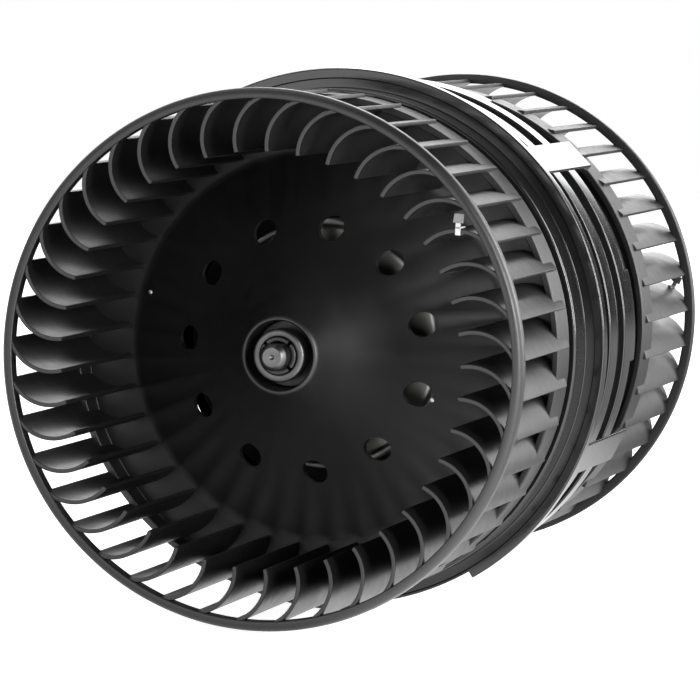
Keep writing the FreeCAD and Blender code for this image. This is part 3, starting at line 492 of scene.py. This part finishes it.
def bladeShape():
    w = wheelSizes
    root, tip, centre = bladeLine()
    turn = (root - centre).cross(tip - centre).y
    out = (root - centre).normalized() * w["bladeThickness"] / 2
    bm = bmesh.new()
    ends = [bm.verts.new(root + out), bm.verts.new(root - out)]
    edge = bm.edges.new(ends)
    bmesh.ops.spin(bm, geom=ends + [edge], cent=centre, axis=(0, math.copysign(1, turn), 0),
                   angle=(root - centre).angle(tip - centre), steps=w["bladeSteps"])
    sides = bmesh.ops.extrude_face_region(bm, geom=list(bm.faces))
    risen = [v for v in sides["geom"] if isinstance(v, bmesh.types.BMVert)]
    bmesh.ops.translate(bm, verts=risen, vec=(0, w["bladeEnd"] - w["bladeStart"], 0))
    closeUp(bm)
    softenEdges(bm, w["bladeRound"], 2, 60)
    return bm


def setOnWheel(bm, place, facingFront):
    # moves a shape drawn in the wheel's own frame to its wheel
    if facingFront:
        bmesh.ops.scale(bm, verts=bm.verts, vec=(1, -1, 1))
        bmesh.ops.reverse_faces(bm, faces=bm.faces)
    bmesh.ops.translate(bm, verts=bm.verts, vec=(0, place, 0))
    return bm


def makeWheel(name, place, facingFront, replaced):
    w = wheelSizes
    bm = hubShell()
    rimStart = w["length"] - w["rimWidth"]
    rim = turned([
        (w["rimInner"], rimStart, w["edge"]), (w["radius"], rimStart, w["rimEdge"]),
        (w["radius"], w["length"], w["rimRound"]), (w["rimInner"], w["length"], w["rimEdge"]),
    ], w["steps"])
    addTo(bm, rim)
    addRing(bm, bladeShape(), w["bladeCount"], w["bladeFirst"])
    setOnWheel(bm, place, facingFront)
    finishPiece(bm, name, wheelPlastic, "rotor", replaced)


makeWheel("frontWheel", wheelSizes["frontPlace"], True, "front_wheel")
makeWheel("rearWheel", wheelSizes["rearPlace"], False, "rear_wheel")


ringSizes = {
    "steps": 96,
    "inner": 5.35,
    "outer": 7.5,
    "start": 39.3,
    "end": 44.9,
    "outerRound": 1.0,
    "edgeRound": 0.4,
    "innerRound": 0.2,
}


def makeClampRing(name, place, facingFront, replaced):
    r = ringSizes
    bm = turned([
        (r["inner"], r["start"], r["innerRound"]), (r["outer"], r["start"], r["edgeRound"]),
        (r["outer"], r["end"], r["outerRound"]), (r["inner"], r["end"], r["edgeRound"]),
    ], r["steps"])
    setOnWheel(bm, place, facingFront)
    finishPiece(bm, name, ringSteel, "rotor", replaced)


makeClampRing("frontClampRing", wheelSizes["frontPlace"], True, "front_clamp_ring")
makeClampRing("rearClampRing", wheelSizes["rearPlace"], False, "rear_clamp_ring")


clipSizes = {
    "wall": 0.5,
    "height": 1.6,
    "length": 5.0,
    "gap": 1.4,
    "spare": 0.05,
    "stem": (1.4, 1.1),
    "ear": (3.0, 2.8),
    "tilt": 28.0,
    "soft": 0.2,
    "stemSoft": 0.1,
    "along": 0.54,  # share of the blade's arc, from its root
    "front": [6],
    "rear": [9, 27],
}


def clipShape():
    # spring clip on a blade's inlet edge: a U over the edge, a stem and a bent ear
    c, w = clipSizes, wheelSizes
    end = w["bladeEnd"] + c["wall"]
    half = c["height"] / 2
    body = boxed(c["gap"] + 2 * c["wall"], end - c["length"], end, -half, half, soft=c["soft"])
    inner = boxed(c["gap"], end - c["length"] - past, end - c["wall"] + c["spare"], -half - past,
                  half + past)
    body = cutAway(body, inner)
    stemWidth, stemLength = c["stem"]
    earWidth, earLength = c["ear"]
    near = -c["gap"] / 2 - c["wall"]
    bend = near + 2 * c["spare"] - stemLength
    stem = boxed(stemLength + c["wall"], end - c["wall"], end, -stemWidth / 2, stemWidth / 2,
                 side=bend + (stemLength + c["wall"]) / 2, soft=c["stemSoft"])
    ear = boxed(earLength, end - c["wall"], end, -earWidth / 2, earWidth / 2, side=bend - earLength / 2,
                soft=c["soft"])
    bmesh.ops.rotate(ear, verts=ear.verts, cent=(bend, end - c["wall"] / 2, 0),
                     matrix=Matrix.Rotation(math.radians(c["tilt"]), 3, "Z"))
    addTo(body, stem, ear)
    root, tip, centre = bladeLine()
    turn = math.copysign(c["along"] * (root - centre).angle(tip - centre),
                         (root - centre).cross(tip - centre).y)
    spot = Matrix.Rotation(turn, 3, "Y") @ (root - centre)
    way = Vector((0, math.copysign(1, turn), 0)).cross(spot)
    spin(body, math.degrees(math.atan2(way.x, way.z)))
    spot = spot + centre
    bmesh.ops.translate(body, verts=body.verts, vec=(spot.x, 0, spot.z))
    return body


def makeClips(name, place, facingFront, blades, replaced):
    w = wheelSizes
    bm = bmesh.new()
    addRing(bm, clipShape(), w["bladeCount"], w["bladeFirst"], blades)
    setOnWheel(bm, place, facingFront)
    finishPiece(bm, name, clipSteel, "rotor", replaced)


makeClips("frontBalanceClips", wheelSizes["frontPlace"], True, clipSizes["front"], "front_balance_clips")
makeClips("rearBalanceClips", wheelSizes["rearPlace"], False, clipSizes["rear"], "rear_balance_clips")


pinSizes = {
    "radius": 0.67,
    "depth": 3.0,
    "stand": 0.5,
    "soft": 0.25,
    "front": [(52.6, 286.0), (39.0, 111.0)],  # distance from the shaft and angle of each
    "rear": [(52.6, 64.0)],
}


def makePins(name, place, facingFront, places, replaced):
    p = pinSizes
    bm = bmesh.new()
    for radius, angle in places:
        top = domeHeight(radius)
        pin = rod(p["radius"], top - p["depth"], top + p["stand"], z=radius, segments=24)
        softenEdges(pin, p["soft"])
        addTo(bm, spin(pin, angle))
    setOnWheel(bm, place, facingFront)
    finishPiece(bm, name, pinSteel, "rotor", replaced)


makePins("frontBalancePins", wheelSizes["frontPlace"], True, pinSizes["front"], "front_balance_pins")
makePins("rearBalancePins", wheelSizes["rearPlace"], False, pinSizes["rear"], "rear_balance_pins")


shaftSizes = {
    "steps": 96,
    "radius": 4.0,
    "start": -67.6,
    "end": 127.8,
    "bevel": 1.3,
    "flatHeight": 3.5,
    "flatLength": 33.1,
    "centreHole": (0.7, 1.2),  # radius and depth
    "edge": 0.2,
    "holeEdge": 0.1,
}


def makeShaft():
    s = shaftSizes
    holeRadius, holeDepth = s["centreHole"]
    face, edge, holeEdge = s["radius"] - s["bevel"], s["edge"], s["holeEdge"]
    bm = turned([
        (0, s["start"] + holeDepth, 0), (holeRadius, s["start"], holeEdge), (face, s["start"], edge),
        (s["radius"], s["start"] + s["bevel"], edge), (s["radius"], s["end"] - s["bevel"], edge),
        (face, s["end"], edge), (holeRadius, s["end"], holeEdge), (0, s["end"] - holeDepth, 0),
    ], s["steps"])
    reach = 2 * s["radius"]
    cutter = boxed(2 * reach, s["start"] - past, s["start"] + s["flatLength"], s["flatHeight"], reach)
    addTo(cutter, boxed(2 * reach, s["end"] - s["flatLength"], s["end"] + past, s["flatHeight"], reach))
    finishPiece(cutAway(bm, cutter), "shaftBar", shaftSteel, "rotor", "shaft")


makeShaft()


frontSizes = {
    "steps": 240,
    "lipOuter": 73.4,
    "lipInner": 71.2,
    "lipEnd": -13.1,
    "flangeRadius": 79.1,
    "landInner": 76.2,
    "half": 1.75,
    "land": 0.5,
    "collar": (40.7, 43.2, -5.95, 10.05),  # inner and outer radius, front and rear end
    "notch": (161.0, 23.0, 2.1),  # centre, span and depth
    "screwCircle": 60.0,
    "screwHole": 1.7,
    "barCount": 5,
    "barFirst": 46.0,
    "ventCount": 10,
    "ventWidth": 9.0,
    "vent": (48.0, 64.0),  # inner and outer end
    "edge": 0.5,
    "lipEdge": 0.7,
    "collarEdge": 0.4,
    "innerEdge": 0.3,
    "landEdge": 0.2,
}


def ventCutter(start, end):
    f = frontSizes
    cutter = bmesh.new()
    slot = boxed(f["ventWidth"], start, end, *f["vent"])
    addRing(cutter, slot, f["ventCount"], f["barFirst"] + 180.0 / f["ventCount"])
    return cutter


def makeFrontCarrier():
    f = frontSizes
    inner, outer, collarFront, collarRear = f["collar"]
    half, top = f["half"], f["half"] + f["land"]
    edge, collarEdge = f["edge"], f["collarEdge"]
    innerEdge, landEdge = f["innerEdge"], f["landEdge"]
    bm = turned([
        (f["lipInner"], f["lipEnd"], edge), (f["lipOuter"], f["lipEnd"], f["lipEdge"]),
        (f["lipOuter"], -half, innerEdge), (f["landInner"], -half, landEdge),
        (f["landInner"], -top, landEdge), (f["flangeRadius"], -top, edge),
        (f["flangeRadius"], top, edge), (f["landInner"], top, landEdge),
        (f["landInner"], half, landEdge), (outer, half, innerEdge), (outer, collarRear, collarEdge),
        (inner, collarRear, collarEdge), (inner, collarFront, collarEdge),
        (outer, collarFront, collarEdge), (outer, -half, innerEdge), (f["lipInner"], -half, innerEdge),
    ], f["steps"])
    reach = top + past
    cutter = ventCutter(-reach, reach)
    addRing(cutter, rod(f["screwHole"], -reach, reach, z=f["screwCircle"]), f["barCount"], f["barFirst"])
    angle, span, depth = f["notch"]
    notch = sectorShape(f["flangeRadius"] - depth, f["flangeRadius"] + past, -reach, reach, span)
    addTo(cutter, spin(notch, angle))
    finishPiece(cutAway(bm, cutter), "frontCarrier", carrierPlastic, "carrier",
                "front_carrier")


makeFrontCarrier()


rearSizes = {
    "steps": 240,
    "ringRadius": 75.3,
    "ringStart": 22.0,
    "ringEnd": 49.0,
    "ringWall": 3.5,
    "groove": 2.3,
    "bead": 8.6,
    "webFront": 68.2,
    "webRear": 71.7,
    "webRadius": 70.5,
    "collar": (40.7, 43.2, 57.2, 73.2),
    "barWidth": 10.5,
    "barThickness": 2.6,
    "barFace": 75.6,
    "barStart": 1.8,
    "barEnd": 69.7,
    "ribThickness": 3.0,
    "ribRoot": 43.5,
    "ribSink": 1.3,
    "ribFoot": (41.95, 44.5),
    "bossRadius": 3.8,
    "bossLength": 20.0,
    "lugFirst": 14.0,
    "lugSpan": 21.0,
    "lugReach": 5.0,
    "lugWall": 3.0,
    "lugs": (0, 1, 2, 3),
    "connectorAngle": 298.0,
    "notchWidth": 15.0,
    "notch": (44.0, 48.8),
    "edge": 0.5,
    "collarEdge": 0.4,
    "innerEdge": 0.3,
    "grooveEdge": 0.2,
}


def middleRing():
    r = rearSizes
    inner = r["ringRadius"] - r["ringWall"]
    groove = r["ringRadius"] - r["groove"]
    start, end, bead = r["ringStart"], r["ringEnd"], r["bead"]
    edge, grooveEdge = r["edge"], r["grooveEdge"]
    return turned([
        (inner, start, edge), (r["ringRadius"], start, edge), (r["ringRadius"], start + bead, edge),
        (groove, start + bead, grooveEdge), (groove, end - bead, grooveEdge),
        (r["ringRadius"], end - bead, edge), (r["ringRadius"], end, edge), (inner, end, edge),
    ], r["steps"])


def lugShape():
    r = rearSizes
    bm = sectorShape(r["ringRadius"] - r["lugWall"], r["ringRadius"], r["ringEnd"] - r["bead"] / 2,
                     r["ringEnd"] + r["lugReach"], r["lugSpan"])
    softenEdges(bm, r["edge"], 2, 60)
    return bm


def barShape():
    # flat bridging bar on its rib, with the screw boss under it
    r = rearSizes
    underBar = r["barFace"] - r["barThickness"]
    bar = boxed(r["barWidth"], r["barStart"], r["barEnd"], underBar, r["barFace"])
    softenEdges(bar, r["edge"], 3)
    rib = boxed(r["ribThickness"], r["barStart"], r["webRear"], r["ribRoot"], underBar + r["ribSink"],
                soft=r["innerEdge"])
    foot = boxed(r["ribThickness"], r["collar"][2], r["webRear"], *r["ribFoot"])
    boss = rod(r["bossRadius"], r["barStart"], r["barStart"] + r["bossLength"],
               z=frontSizes["screwCircle"])
    softenEdges(boss, r["innerEdge"])
    return joined(bar, rib, foot, boss)


def rearWeb():
    r = rearSizes
    inner, outer, collarFront, collarRear = r["collar"]
    edge, collarEdge, innerEdge = r["edge"], r["collarEdge"], r["innerEdge"]
    web = turned([
        (inner, collarFront, collarEdge), (outer, collarFront, collarEdge),
        (outer, r["webFront"], innerEdge), (r["webRadius"], r["webFront"], edge),
        (r["webRadius"], r["webRear"], edge), (outer, r["webRear"], innerEdge),
        (outer, collarRear, collarEdge), (inner, collarRear, collarEdge),
    ], r["steps"])
    cutter = ventCutter(r["webFront"] - past, r["webRear"] + past)
    notch = boxed(r["notchWidth"], r["webFront"] - past, r["webRear"] + past, *r["notch"])
    addTo(cutter, spin(notch, r["connectorAngle"]))
    return cutAway(web, cutter)


def makeRearCarrier():
    f, r = frontSizes, rearSizes
    bm = joined(middleRing(), rearWeb())
    addRing(bm, barShape(), f["barCount"], f["barFirst"])
    addRing(bm, lugShape(), f["barCount"], r["lugFirst"], r["lugs"])
    finishPiece(bm, "rearCarrier", carrierPlastic, "carrier", "rear_carrier")


makeRearCarrier()


screwSizes = {
    "steps": 48,
    "head": (2.9, -3.95),  # radius and top
    "headRound": 1.3,
    "seatEdge": 0.15,
    "seat": -1.75,
    "shank": 1.25,
    "end": 12.25,
    "recess": (0.7, 3.2, 1.2),  # width, length and depth of the cross
    "thread": (0.18, 1.3),  # depth and pitch
}


def makeScrews():
    s = screwSizes
    headRadius, headTop = s["head"]
    depth, pitch = s["thread"]
    corners = [(0, headTop, 0), (headRadius, headTop, s["headRound"]),
               (headRadius, s["seat"], s["seatEdge"]), (s["shank"], s["seat"], 0)]
    for i in range(int((s["end"] - s["seat"]) / pitch) - 1):
        corners.append((s["shank"], s["seat"] + (i + 1) * pitch, 0))
        corners.append((s["shank"] - depth, s["seat"] + (i + 1.5) * pitch, 0))
    corners += [(s["shank"] - depth, s["end"], 0), (0, s["end"], 0)]
    screw = turned(corners, s["steps"])
    width, length, recessDepth = s["recess"]
    for wide, high in ((width, length), (length, width)):
        screw = cutAway(screw, boxed(wide, headTop - past, headTop + recessDepth, -high / 2, high / 2))
    bmesh.ops.translate(screw, verts=screw.verts, vec=(0, 0, frontSizes["screwCircle"]))
    bm = bmesh.new()
    addRing(bm, screw, frontSizes["barCount"], frontSizes["barFirst"])
    finishPiece(bm, "carrierScrews", screwSteel, "carrier", "carrier_screws")


makeScrews()


damperSizes = {
    "steps": 180,
    "inner": 36.05,
    "outer": 40.65,
    "lip": 43.2,
    "front": (-7.0, -6.0, 10.05),  # the lip's outer and inner face, then the far end
    "rear": (74.25, 73.25, 57.2),
    "edge": 0.4,
    "lipEdge": 0.3,
    "rootEdge": 0.2,
}


def makeDamper(name, ends, replaced):
    d = damperSizes
    lipEnd, lipStart, far = ends
    bm = turned([
        (d["inner"], lipEnd, d["lipEdge"]), (d["lip"], lipEnd, d["lipEdge"]),
        (d["lip"], lipStart, d["rootEdge"]), (d["outer"], lipStart, 0),
        (d["outer"], far, d["edge"]), (d["inner"], far, d["edge"]),
    ], d["steps"])
    finishPiece(bm, name, damperRubber, "carrier", replaced)


makeDamper("frontDamper", damperSizes["front"], "front_damper")
makeDamper("rearDamper", damperSizes["rear"], "rear_damper")


canSizes = {
    "steps": 180,
    "radius": 36.0,
    "inner": 33.8,
    "front": -18.9,
    "wall": 2.2,
    "coverRear": 79.1,
    "crimpEnd": 80.3,
    "pocket": (9.5, 10.9),  # inner and outer radius of the bearing's pocket
    "seat": 7.143,
    "frontPocket": (-29.1, -27.7),
    "rearPocket": (89.3, 87.9),
    "crimp": (6.0, 32.2, 34.9),  # width, then inner and outer end
    "crimpCount": 4,
    "crimpFirst": 45.0,
    "crimpSoft": 0.25,
    "notch": (15.0, 74.0, 76.9),
    "corner": 3.0,
    "pocketRound": 0.7,
    "rootRound": 0.5,
    "coverRound": 0.4,
    "edge": 0.3,
    "innerEdge": 0.2,
}


def makeMotorCan():
    c = canSizes
    pocketInner, pocketOuter = c["pocket"]
    pocketEnd, pocketSeat = c["frontPocket"]
    inside = c["front"] + c["wall"]
    bm = turned([
        (c["radius"], c["front"], c["corner"]), (c["radius"], c["crimpEnd"], c["edge"]),
        (c["inner"], c["crimpEnd"], c["innerEdge"]), (c["inner"], inside, c["rootRound"]),
        (pocketInner, inside, 0), (pocketInner, pocketSeat, 0), (c["seat"], pocketSeat, 0),
        (c["seat"], pocketEnd, c["edge"]), (pocketOuter, pocketEnd, c["pocketRound"]),
        (pocketOuter, c["front"], c["rootRound"]),
    ], c["steps"])
    notchWidth, notchStart, notchEnd = c["notch"]
    notch = boxed(notchWidth, notchStart, notchEnd, c["inner"] - past, c["radius"] + past)
    bm = cutAway(bm, spin(notch, rearSizes["connectorAngle"]))
    width, low, high = c["crimp"]
    crimp = boxed(width, c["coverRear"] + slack, c["crimpEnd"], low, high, soft=c["crimpSoft"])
    addRing(bm, crimp, c["crimpCount"], c["crimpFirst"])
    finishPiece(bm, "motorCan", canSteel, "carrier", "motor_can")


def makeCanCover():
    c = canSizes
    pocketInner, pocketOuter = c["pocket"]
    pocketEnd, pocketSeat = c["rearPocket"]
    outer, inside = c["inner"] - slack, c["coverRear"] - c["wall"]
    bm = turned([
        (outer, c["coverRear"], c["edge"]), (outer, inside, c["innerEdge"]),
        (pocketInner, inside, c["coverRound"]), (pocketInner, pocketSeat, 0),
        (c["seat"], pocketSeat, 0), (c["seat"], pocketEnd, c["edge"]),
        (pocketOuter, pocketEnd, c["pocketRound"]), (pocketOuter, c["coverRear"], c["rootRound"]),
    ], c["steps"])
    finishPiece(bm, "canCover", canSteel, "carrier", "can_cover")


makeMotorCan()
makeCanCover()


connectorSizes = {
    "width": 22.0,
    "start": 52.5,
    "end": 67.1,
    "base": 64.0,
    "mouth": 86.0,
    "wall": 1.8,
    "floor": 4.0,
    "corner": 1.0,
    "foot": (18.0, 59.75, 68.15, 52.0),  # width, front and rear face, root
    "middle": 59.8,
    "spacing": 9.0,
    "slot": (6.4, 0.45),
    "latch": (6.0, 1.4, 74.0, 80.0),  # width, rise, low and high end
    "latchTip": 0.2,
    "cavitySoft": 0.4,
    "footSoft": 0.3,
}


def makeConnector():
    c = connectorSizes
    shroud = boxed(c["width"], c["start"], c["end"], c["base"], c["mouth"])
    upright = [e for e in shroud.edges if abs(e.verts[0].co.z - e.verts[1].co.z) > 1]
    bmesh.ops.bevel(shroud, geom=upright, offset=c["corner"], affect="EDGES", segments=4,
                    profile=0.5, material=-1)
    cavity = boxed(c["width"] - 2 * c["wall"], c["start"] + c["wall"], c["end"] - c["wall"],
                   c["base"] + c["floor"], c["mouth"] + 2 * past, soft=c["cavitySoft"])
    shroud = cutAway(shroud, cavity)
    footWidth, footStart, footEnd, footRoot = c["foot"]
    foot = boxed(footWidth, footStart, footEnd, footRoot, c["base"] + past, soft=c["footSoft"])
    shroud = boolean(shroud, foot, "UNION")
    latchWidth, latchRise, latchLow, latchHigh = c["latch"]
    latch = boxed(latchWidth, c["start"] - latchRise, c["start"] + past, latchLow, latchHigh)
    nose = [v for v in latch.verts if v.co.y < c["start"] and v.co.z > latchHigh - past]
    ramp = latchRise - c["latchTip"]  # what the plug rides up
    bmesh.ops.translate(latch, verts=nose, vec=(0, ramp, 0))
    shroud = boolean(shroud, latch, "UNION")
    slots = bmesh.new()
    slotWidth, slotHalf = c["slot"]
    for side in (-1, 1):
        addTo(slots, boxed(slotWidth, c["middle"] - slotHalf, c["middle"] + slotHalf, footRoot - past,
                           c["base"] + c["floor"] + past, side=side * c["spacing"] / 2))
    shroud = cutAway(shroud, slots)
    spin(shroud, rearSizes["connectorAngle"])
    finishPiece(shroud, "connectorHousing", connectorPlastic, "carrier",
                "connector_housing")


makeConnector()


terminalSizes = {
    "width": 6.3,
    "thickness": 0.8,
    "root": 46.0,
    "tip": 82.0,
    "point": (2.0, 1.2, 0.4),  # length, how much narrower, share of the thickness
    "strip": (4.0, 26.0, 74.35, 75.15),  # width, root, front and rear face
    "soft": 0.08,
}


def makeTerminal(name, side, replaced):
    t, c = terminalSizes, connectorSizes
    half = t["thickness"] / 2
    x = side * c["spacing"] / 2
    front, rear = c["middle"] - half, c["middle"] + half
    pointLength, pointNarrow, pointThin = t["point"]
    blade = boxed(t["width"], front, rear, t["root"], t["tip"] - pointLength, side=x)
    cap = [f for f in blade.faces if f.normal.z > 0.9]
    made = bmesh.ops.extrude_face_region(blade, geom=cap)
    bmesh.ops.delete(blade, geom=cap, context="FACES")
    tipVerts = [v for v in made["geom"] if isinstance(v, bmesh.types.BMVert)]
    bmesh.ops.translate(blade, verts=tipVerts, vec=(-x, -c["middle"], pointLength))
    bmesh.ops.scale(blade, verts=tipVerts, vec=(1 - pointNarrow / t["width"], pointThin, 1))
    bmesh.ops.translate(blade, verts=tipVerts, vec=(x, c["middle"], 0))
    softenEdges(blade, t["soft"])
    stripWidth, stripRoot, rootFront, rootRear = t["strip"]
    top = t["root"] + t["thickness"]
    leg = boxed(stripWidth, front, rootRear, t["root"], top, side=x, soft=t["soft"])
    root = boxed(stripWidth, rootFront, rootRear, stripRoot, top, side=x, soft=t["soft"])
    bm = spin(joined(blade, leg, root), rearSizes["connectorAngle"])
    finishPiece(bm, name, terminalTin, "carrier", replaced)


makeTerminal("positiveTerminal", -1, "positive_terminal")
makeTerminal("negativeTerminal", 1, "negative_terminal")


studio = {
    "floorHeight": -79.1,
    "floorSize": 6.0,
    "floorGlow": 0.85,
    "floorGloss": 1.3,
    "floorRough": 0.9,
    "paper": 0.8,
    # painted shade: the floor paper's much darker colour as seen in reflections
    "paperShadedInGloss": 0.15,
    "roomGrey": 0.15,
    "nearest": 0.02,
    "sweepEdge": (0.10, 0.20),  # how far right the white sweep reaches, as a share of the way back
    "floorEdge": (0.12, 0.28),  # how far back the floor shines on the object's right
    "rimHighlightGlow": 2.4,              # painted highlight: a stretch of floor that glows only in reflections, lighting the front rim's right side
    "rimHighlightRight": (0.01, 0.05),
    "rimHighlightBack": (-0.06, -0.03),
}


def mathOn(tree, operation, a, b):
    return addNode(tree, "ShaderNodeMath", {0: a, 1: b}, operation=operation).outputs[0]


def whiteSweep(tree, coordinates, toCamera, toGloss, floorEdge=None):
    # how bright the white sweep is for the camera, and for what gloss and glass show of it
    path = addNode(tree, "ShaderNodeLightPath")
    shown = mathOn(tree, "MAXIMUM", path.outputs["Is Glossy Ray"], path.outputs["Is Transmission Ray"])
    place = addNode(tree, "ShaderNodeTexCoord").outputs[coordinates]
    parts = addNode(tree, "ShaderNodeSeparateXYZ", {"Vector": place})
    back = mathOn(tree, "MAXIMUM", parts.outputs["Y"], studio["nearest"])
    side = mathOn(tree, "DIVIDE", parts.outputs["X"], back)
    inside = spread(tree, side, toGloss, 0, *studio["sweepEdge"])
    if floorEdge:
        beside = spread(tree, parts.outputs["Y"], toGloss, 0, *floorEdge)
        inside = mathOn(tree, "MAXIMUM", inside, beside)
    camera = mathOn(tree, "MULTIPLY", path.outputs["Is Camera Ray"], toCamera)
    return mathOn(tree, "ADD", camera, mathOn(tree, "MULTIPLY", shown, inside))


def paintedRimHighlight(tree, gloss):
    # painted highlight: a stretch of floor beside the front rim that glows only in reflections,
    # brightening the rim's right side
    place = addNode(tree, "ShaderNodeTexCoord").outputs["Object"]
    parts = addNode(tree, "ShaderNodeSeparateXYZ", {"Vector": place})
    right = spread(tree, parts.outputs["X"], 0, studio["rimHighlightGlow"], *studio["rimHighlightRight"])
    front = spread(tree, parts.outputs["Y"], 1, 0, *studio["rimHighlightBack"])
    return mathOn(tree, "MULTIPLY", mathOn(tree, "MULTIPLY", right, front), gloss)


def floorPaper():
    material, tree, shader = newFinish("floorPaper")
    gloss = addNode(tree, "ShaderNodeLightPath").outputs["Is Glossy Ray"]
    # painted shade: the paper is far darker in reflections than to the camera, which darkens what
    # reflects the floor
    paper = spread(tree, gloss, studio["paper"], studio["paperShadedInGloss"], 0, 1)
    tree.links.new(paper, shader.inputs["Base Color"])
    shader.inputs["Roughness"].default_value = studio["floorRough"]
    shader.inputs["Emission Color"].default_value = (1, 1, 1, 1)
    sweepAndRimHighlight = whiteSweep(tree, "Object", studio["floorGlow"], studio["floorGloss"], studio["floorEdge"])
    # painted highlight: one stretch of floor glows brighter, seen only in reflections on the front rim's
    # right side
    sweepAndRimHighlight = mathOn(tree, "ADD", sweepAndRimHighlight, paintedRimHighlight(tree, gloss))
    tree.links.new(sweepAndRimHighlight, shader.inputs["Emission Strength"])
    return material


def makeFloor():
    bm = bmesh.new()
    bmesh.ops.create_grid(bm, x_segments=1, y_segments=1, size=studio["floorSize"] / 2)
    bmesh.ops.translate(bm, verts=bm.verts, vec=(0, 0, studio["floorHeight"] * 0.001))
    mesh = bpy.data.meshes.new("floor")
    bm.to_mesh(mesh)
    bm.free()
    floor = bpy.data.objects.new("floor", mesh)
    bpy.context.scene.collection.objects.link(floor)
    mesh.materials.append(floorPaper())


def makeWorld():
    # a dim room with a white backdrop behind the object
    world = bpy.data.worlds.new("studio")
    world.use_nodes = True
    bpy.context.scene.world = world
    tree = world.node_tree
    room = tree.nodes["Background"]
    grey = studio["roomGrey"]
    room.inputs["Color"].default_value = (grey, grey, grey, 1)
    path = addNode(tree, "ShaderNodeLightPath")
    unseen = mathOn(tree, "SUBTRACT", 1.0, path.outputs["Is Glossy Ray"])
    tree.links.new(unseen, room.inputs["Strength"])
    backdrop = addNode(tree, "ShaderNodeBackground", {"Color": (1, 1, 1, 1), "Strength": 1.0})
    white = whiteSweep(tree, "Generated", 1.0, 1.0)
    mix = addNode(tree, "ShaderNodeMixShader", {0: white, 1: room.outputs[0], 2: backdrop.outputs[0]})
    tree.links.new(mix.outputs[0], tree.nodes["World Output"].inputs["Surface"])


lamps = {
    # name: (place, looks at, width, height, radiance)
    "softboxFront": ((-0.21, -0.72, 0.09), (0, 0, 0), 0.6, 0.34, 1.9),
    "lampRight": ((1.0, -0.76, 0.24), (0, 0, 0), 0.35, 0.45, 34.0),
    "softboxRight": ((1.1, 0.1, 0.34), (0, 0, 0), 1.2, 0.8, 4.2),
    "kickerRight": ((0.95, 0.95, 0.36), (0, 0.08, 0), 0.8, 0.8, 9.0),
    "backdropGlow": ((-0.5, 1.9, 0.72), (0, 0, 0), 1.7, 1.2, 2.7),
    "softboxTop": ((-0.1, 0.1, 1.5), (0, 0, 0), 1.0, 0.8, 0.8),
}


def makeLamps():
    for name, (place, aim, width, height, radiance) in lamps.items():
        data = bpy.data.lights.new(name, "AREA")
        data.shape = "RECTANGLE"
        data.size = width
        data.size_y = height
        data.energy = radiance * math.pi * width * height
        lamp = bpy.data.objects.new(name, data)
        lamp.location = place
        lamp.rotation_euler = (Vector(aim) - Vector(place)).to_track_quat("-Z", "Y").to_euler()
        lamp.visible_camera = False
        bpy.context.scene.collection.objects.link(lamp)


cameraSizes = {
    "azimuth": 16.3045,
    "elevation": 4.261,
    "distance": 1.3522,
    "lens": 233.6,
    "aim": (0, 0.0301, 0),
    "shift": (-0.0294, -0.0252),
    "sensor": 36.0,
    "clipStart": 0.05,
}


def makeCamera():
    c = cameraSizes
    azimuth, elevation = math.radians(c["azimuth"]), math.radians(c["elevation"])
    back = Vector((math.sin(azimuth) * math.cos(elevation), -math.cos(azimuth) * math.cos(elevation),
                   math.sin(elevation)))
    data = bpy.data.cameras.new("camera")
    data.sensor_width = c["sensor"]
    data.lens = c["lens"]
    data.shift_x, data.shift_y = c["shift"]
    data.clip_start = c["clipStart"]
    camera = bpy.data.objects.new("camera", data)
    camera.location = Vector(c["aim"]) + back * c["distance"]
    camera.rotation_euler = (-back).to_track_quat("-Z", "Y").to_euler()
    bpy.context.scene.collection.objects.link(camera)
    bpy.context.scene.camera = camera


makeFloor()
makeWorld()
makeLamps()
makeCamera()
bpy.context.scene.view_settings.view_transform = "Standard"
print("floor, lights and camera set")
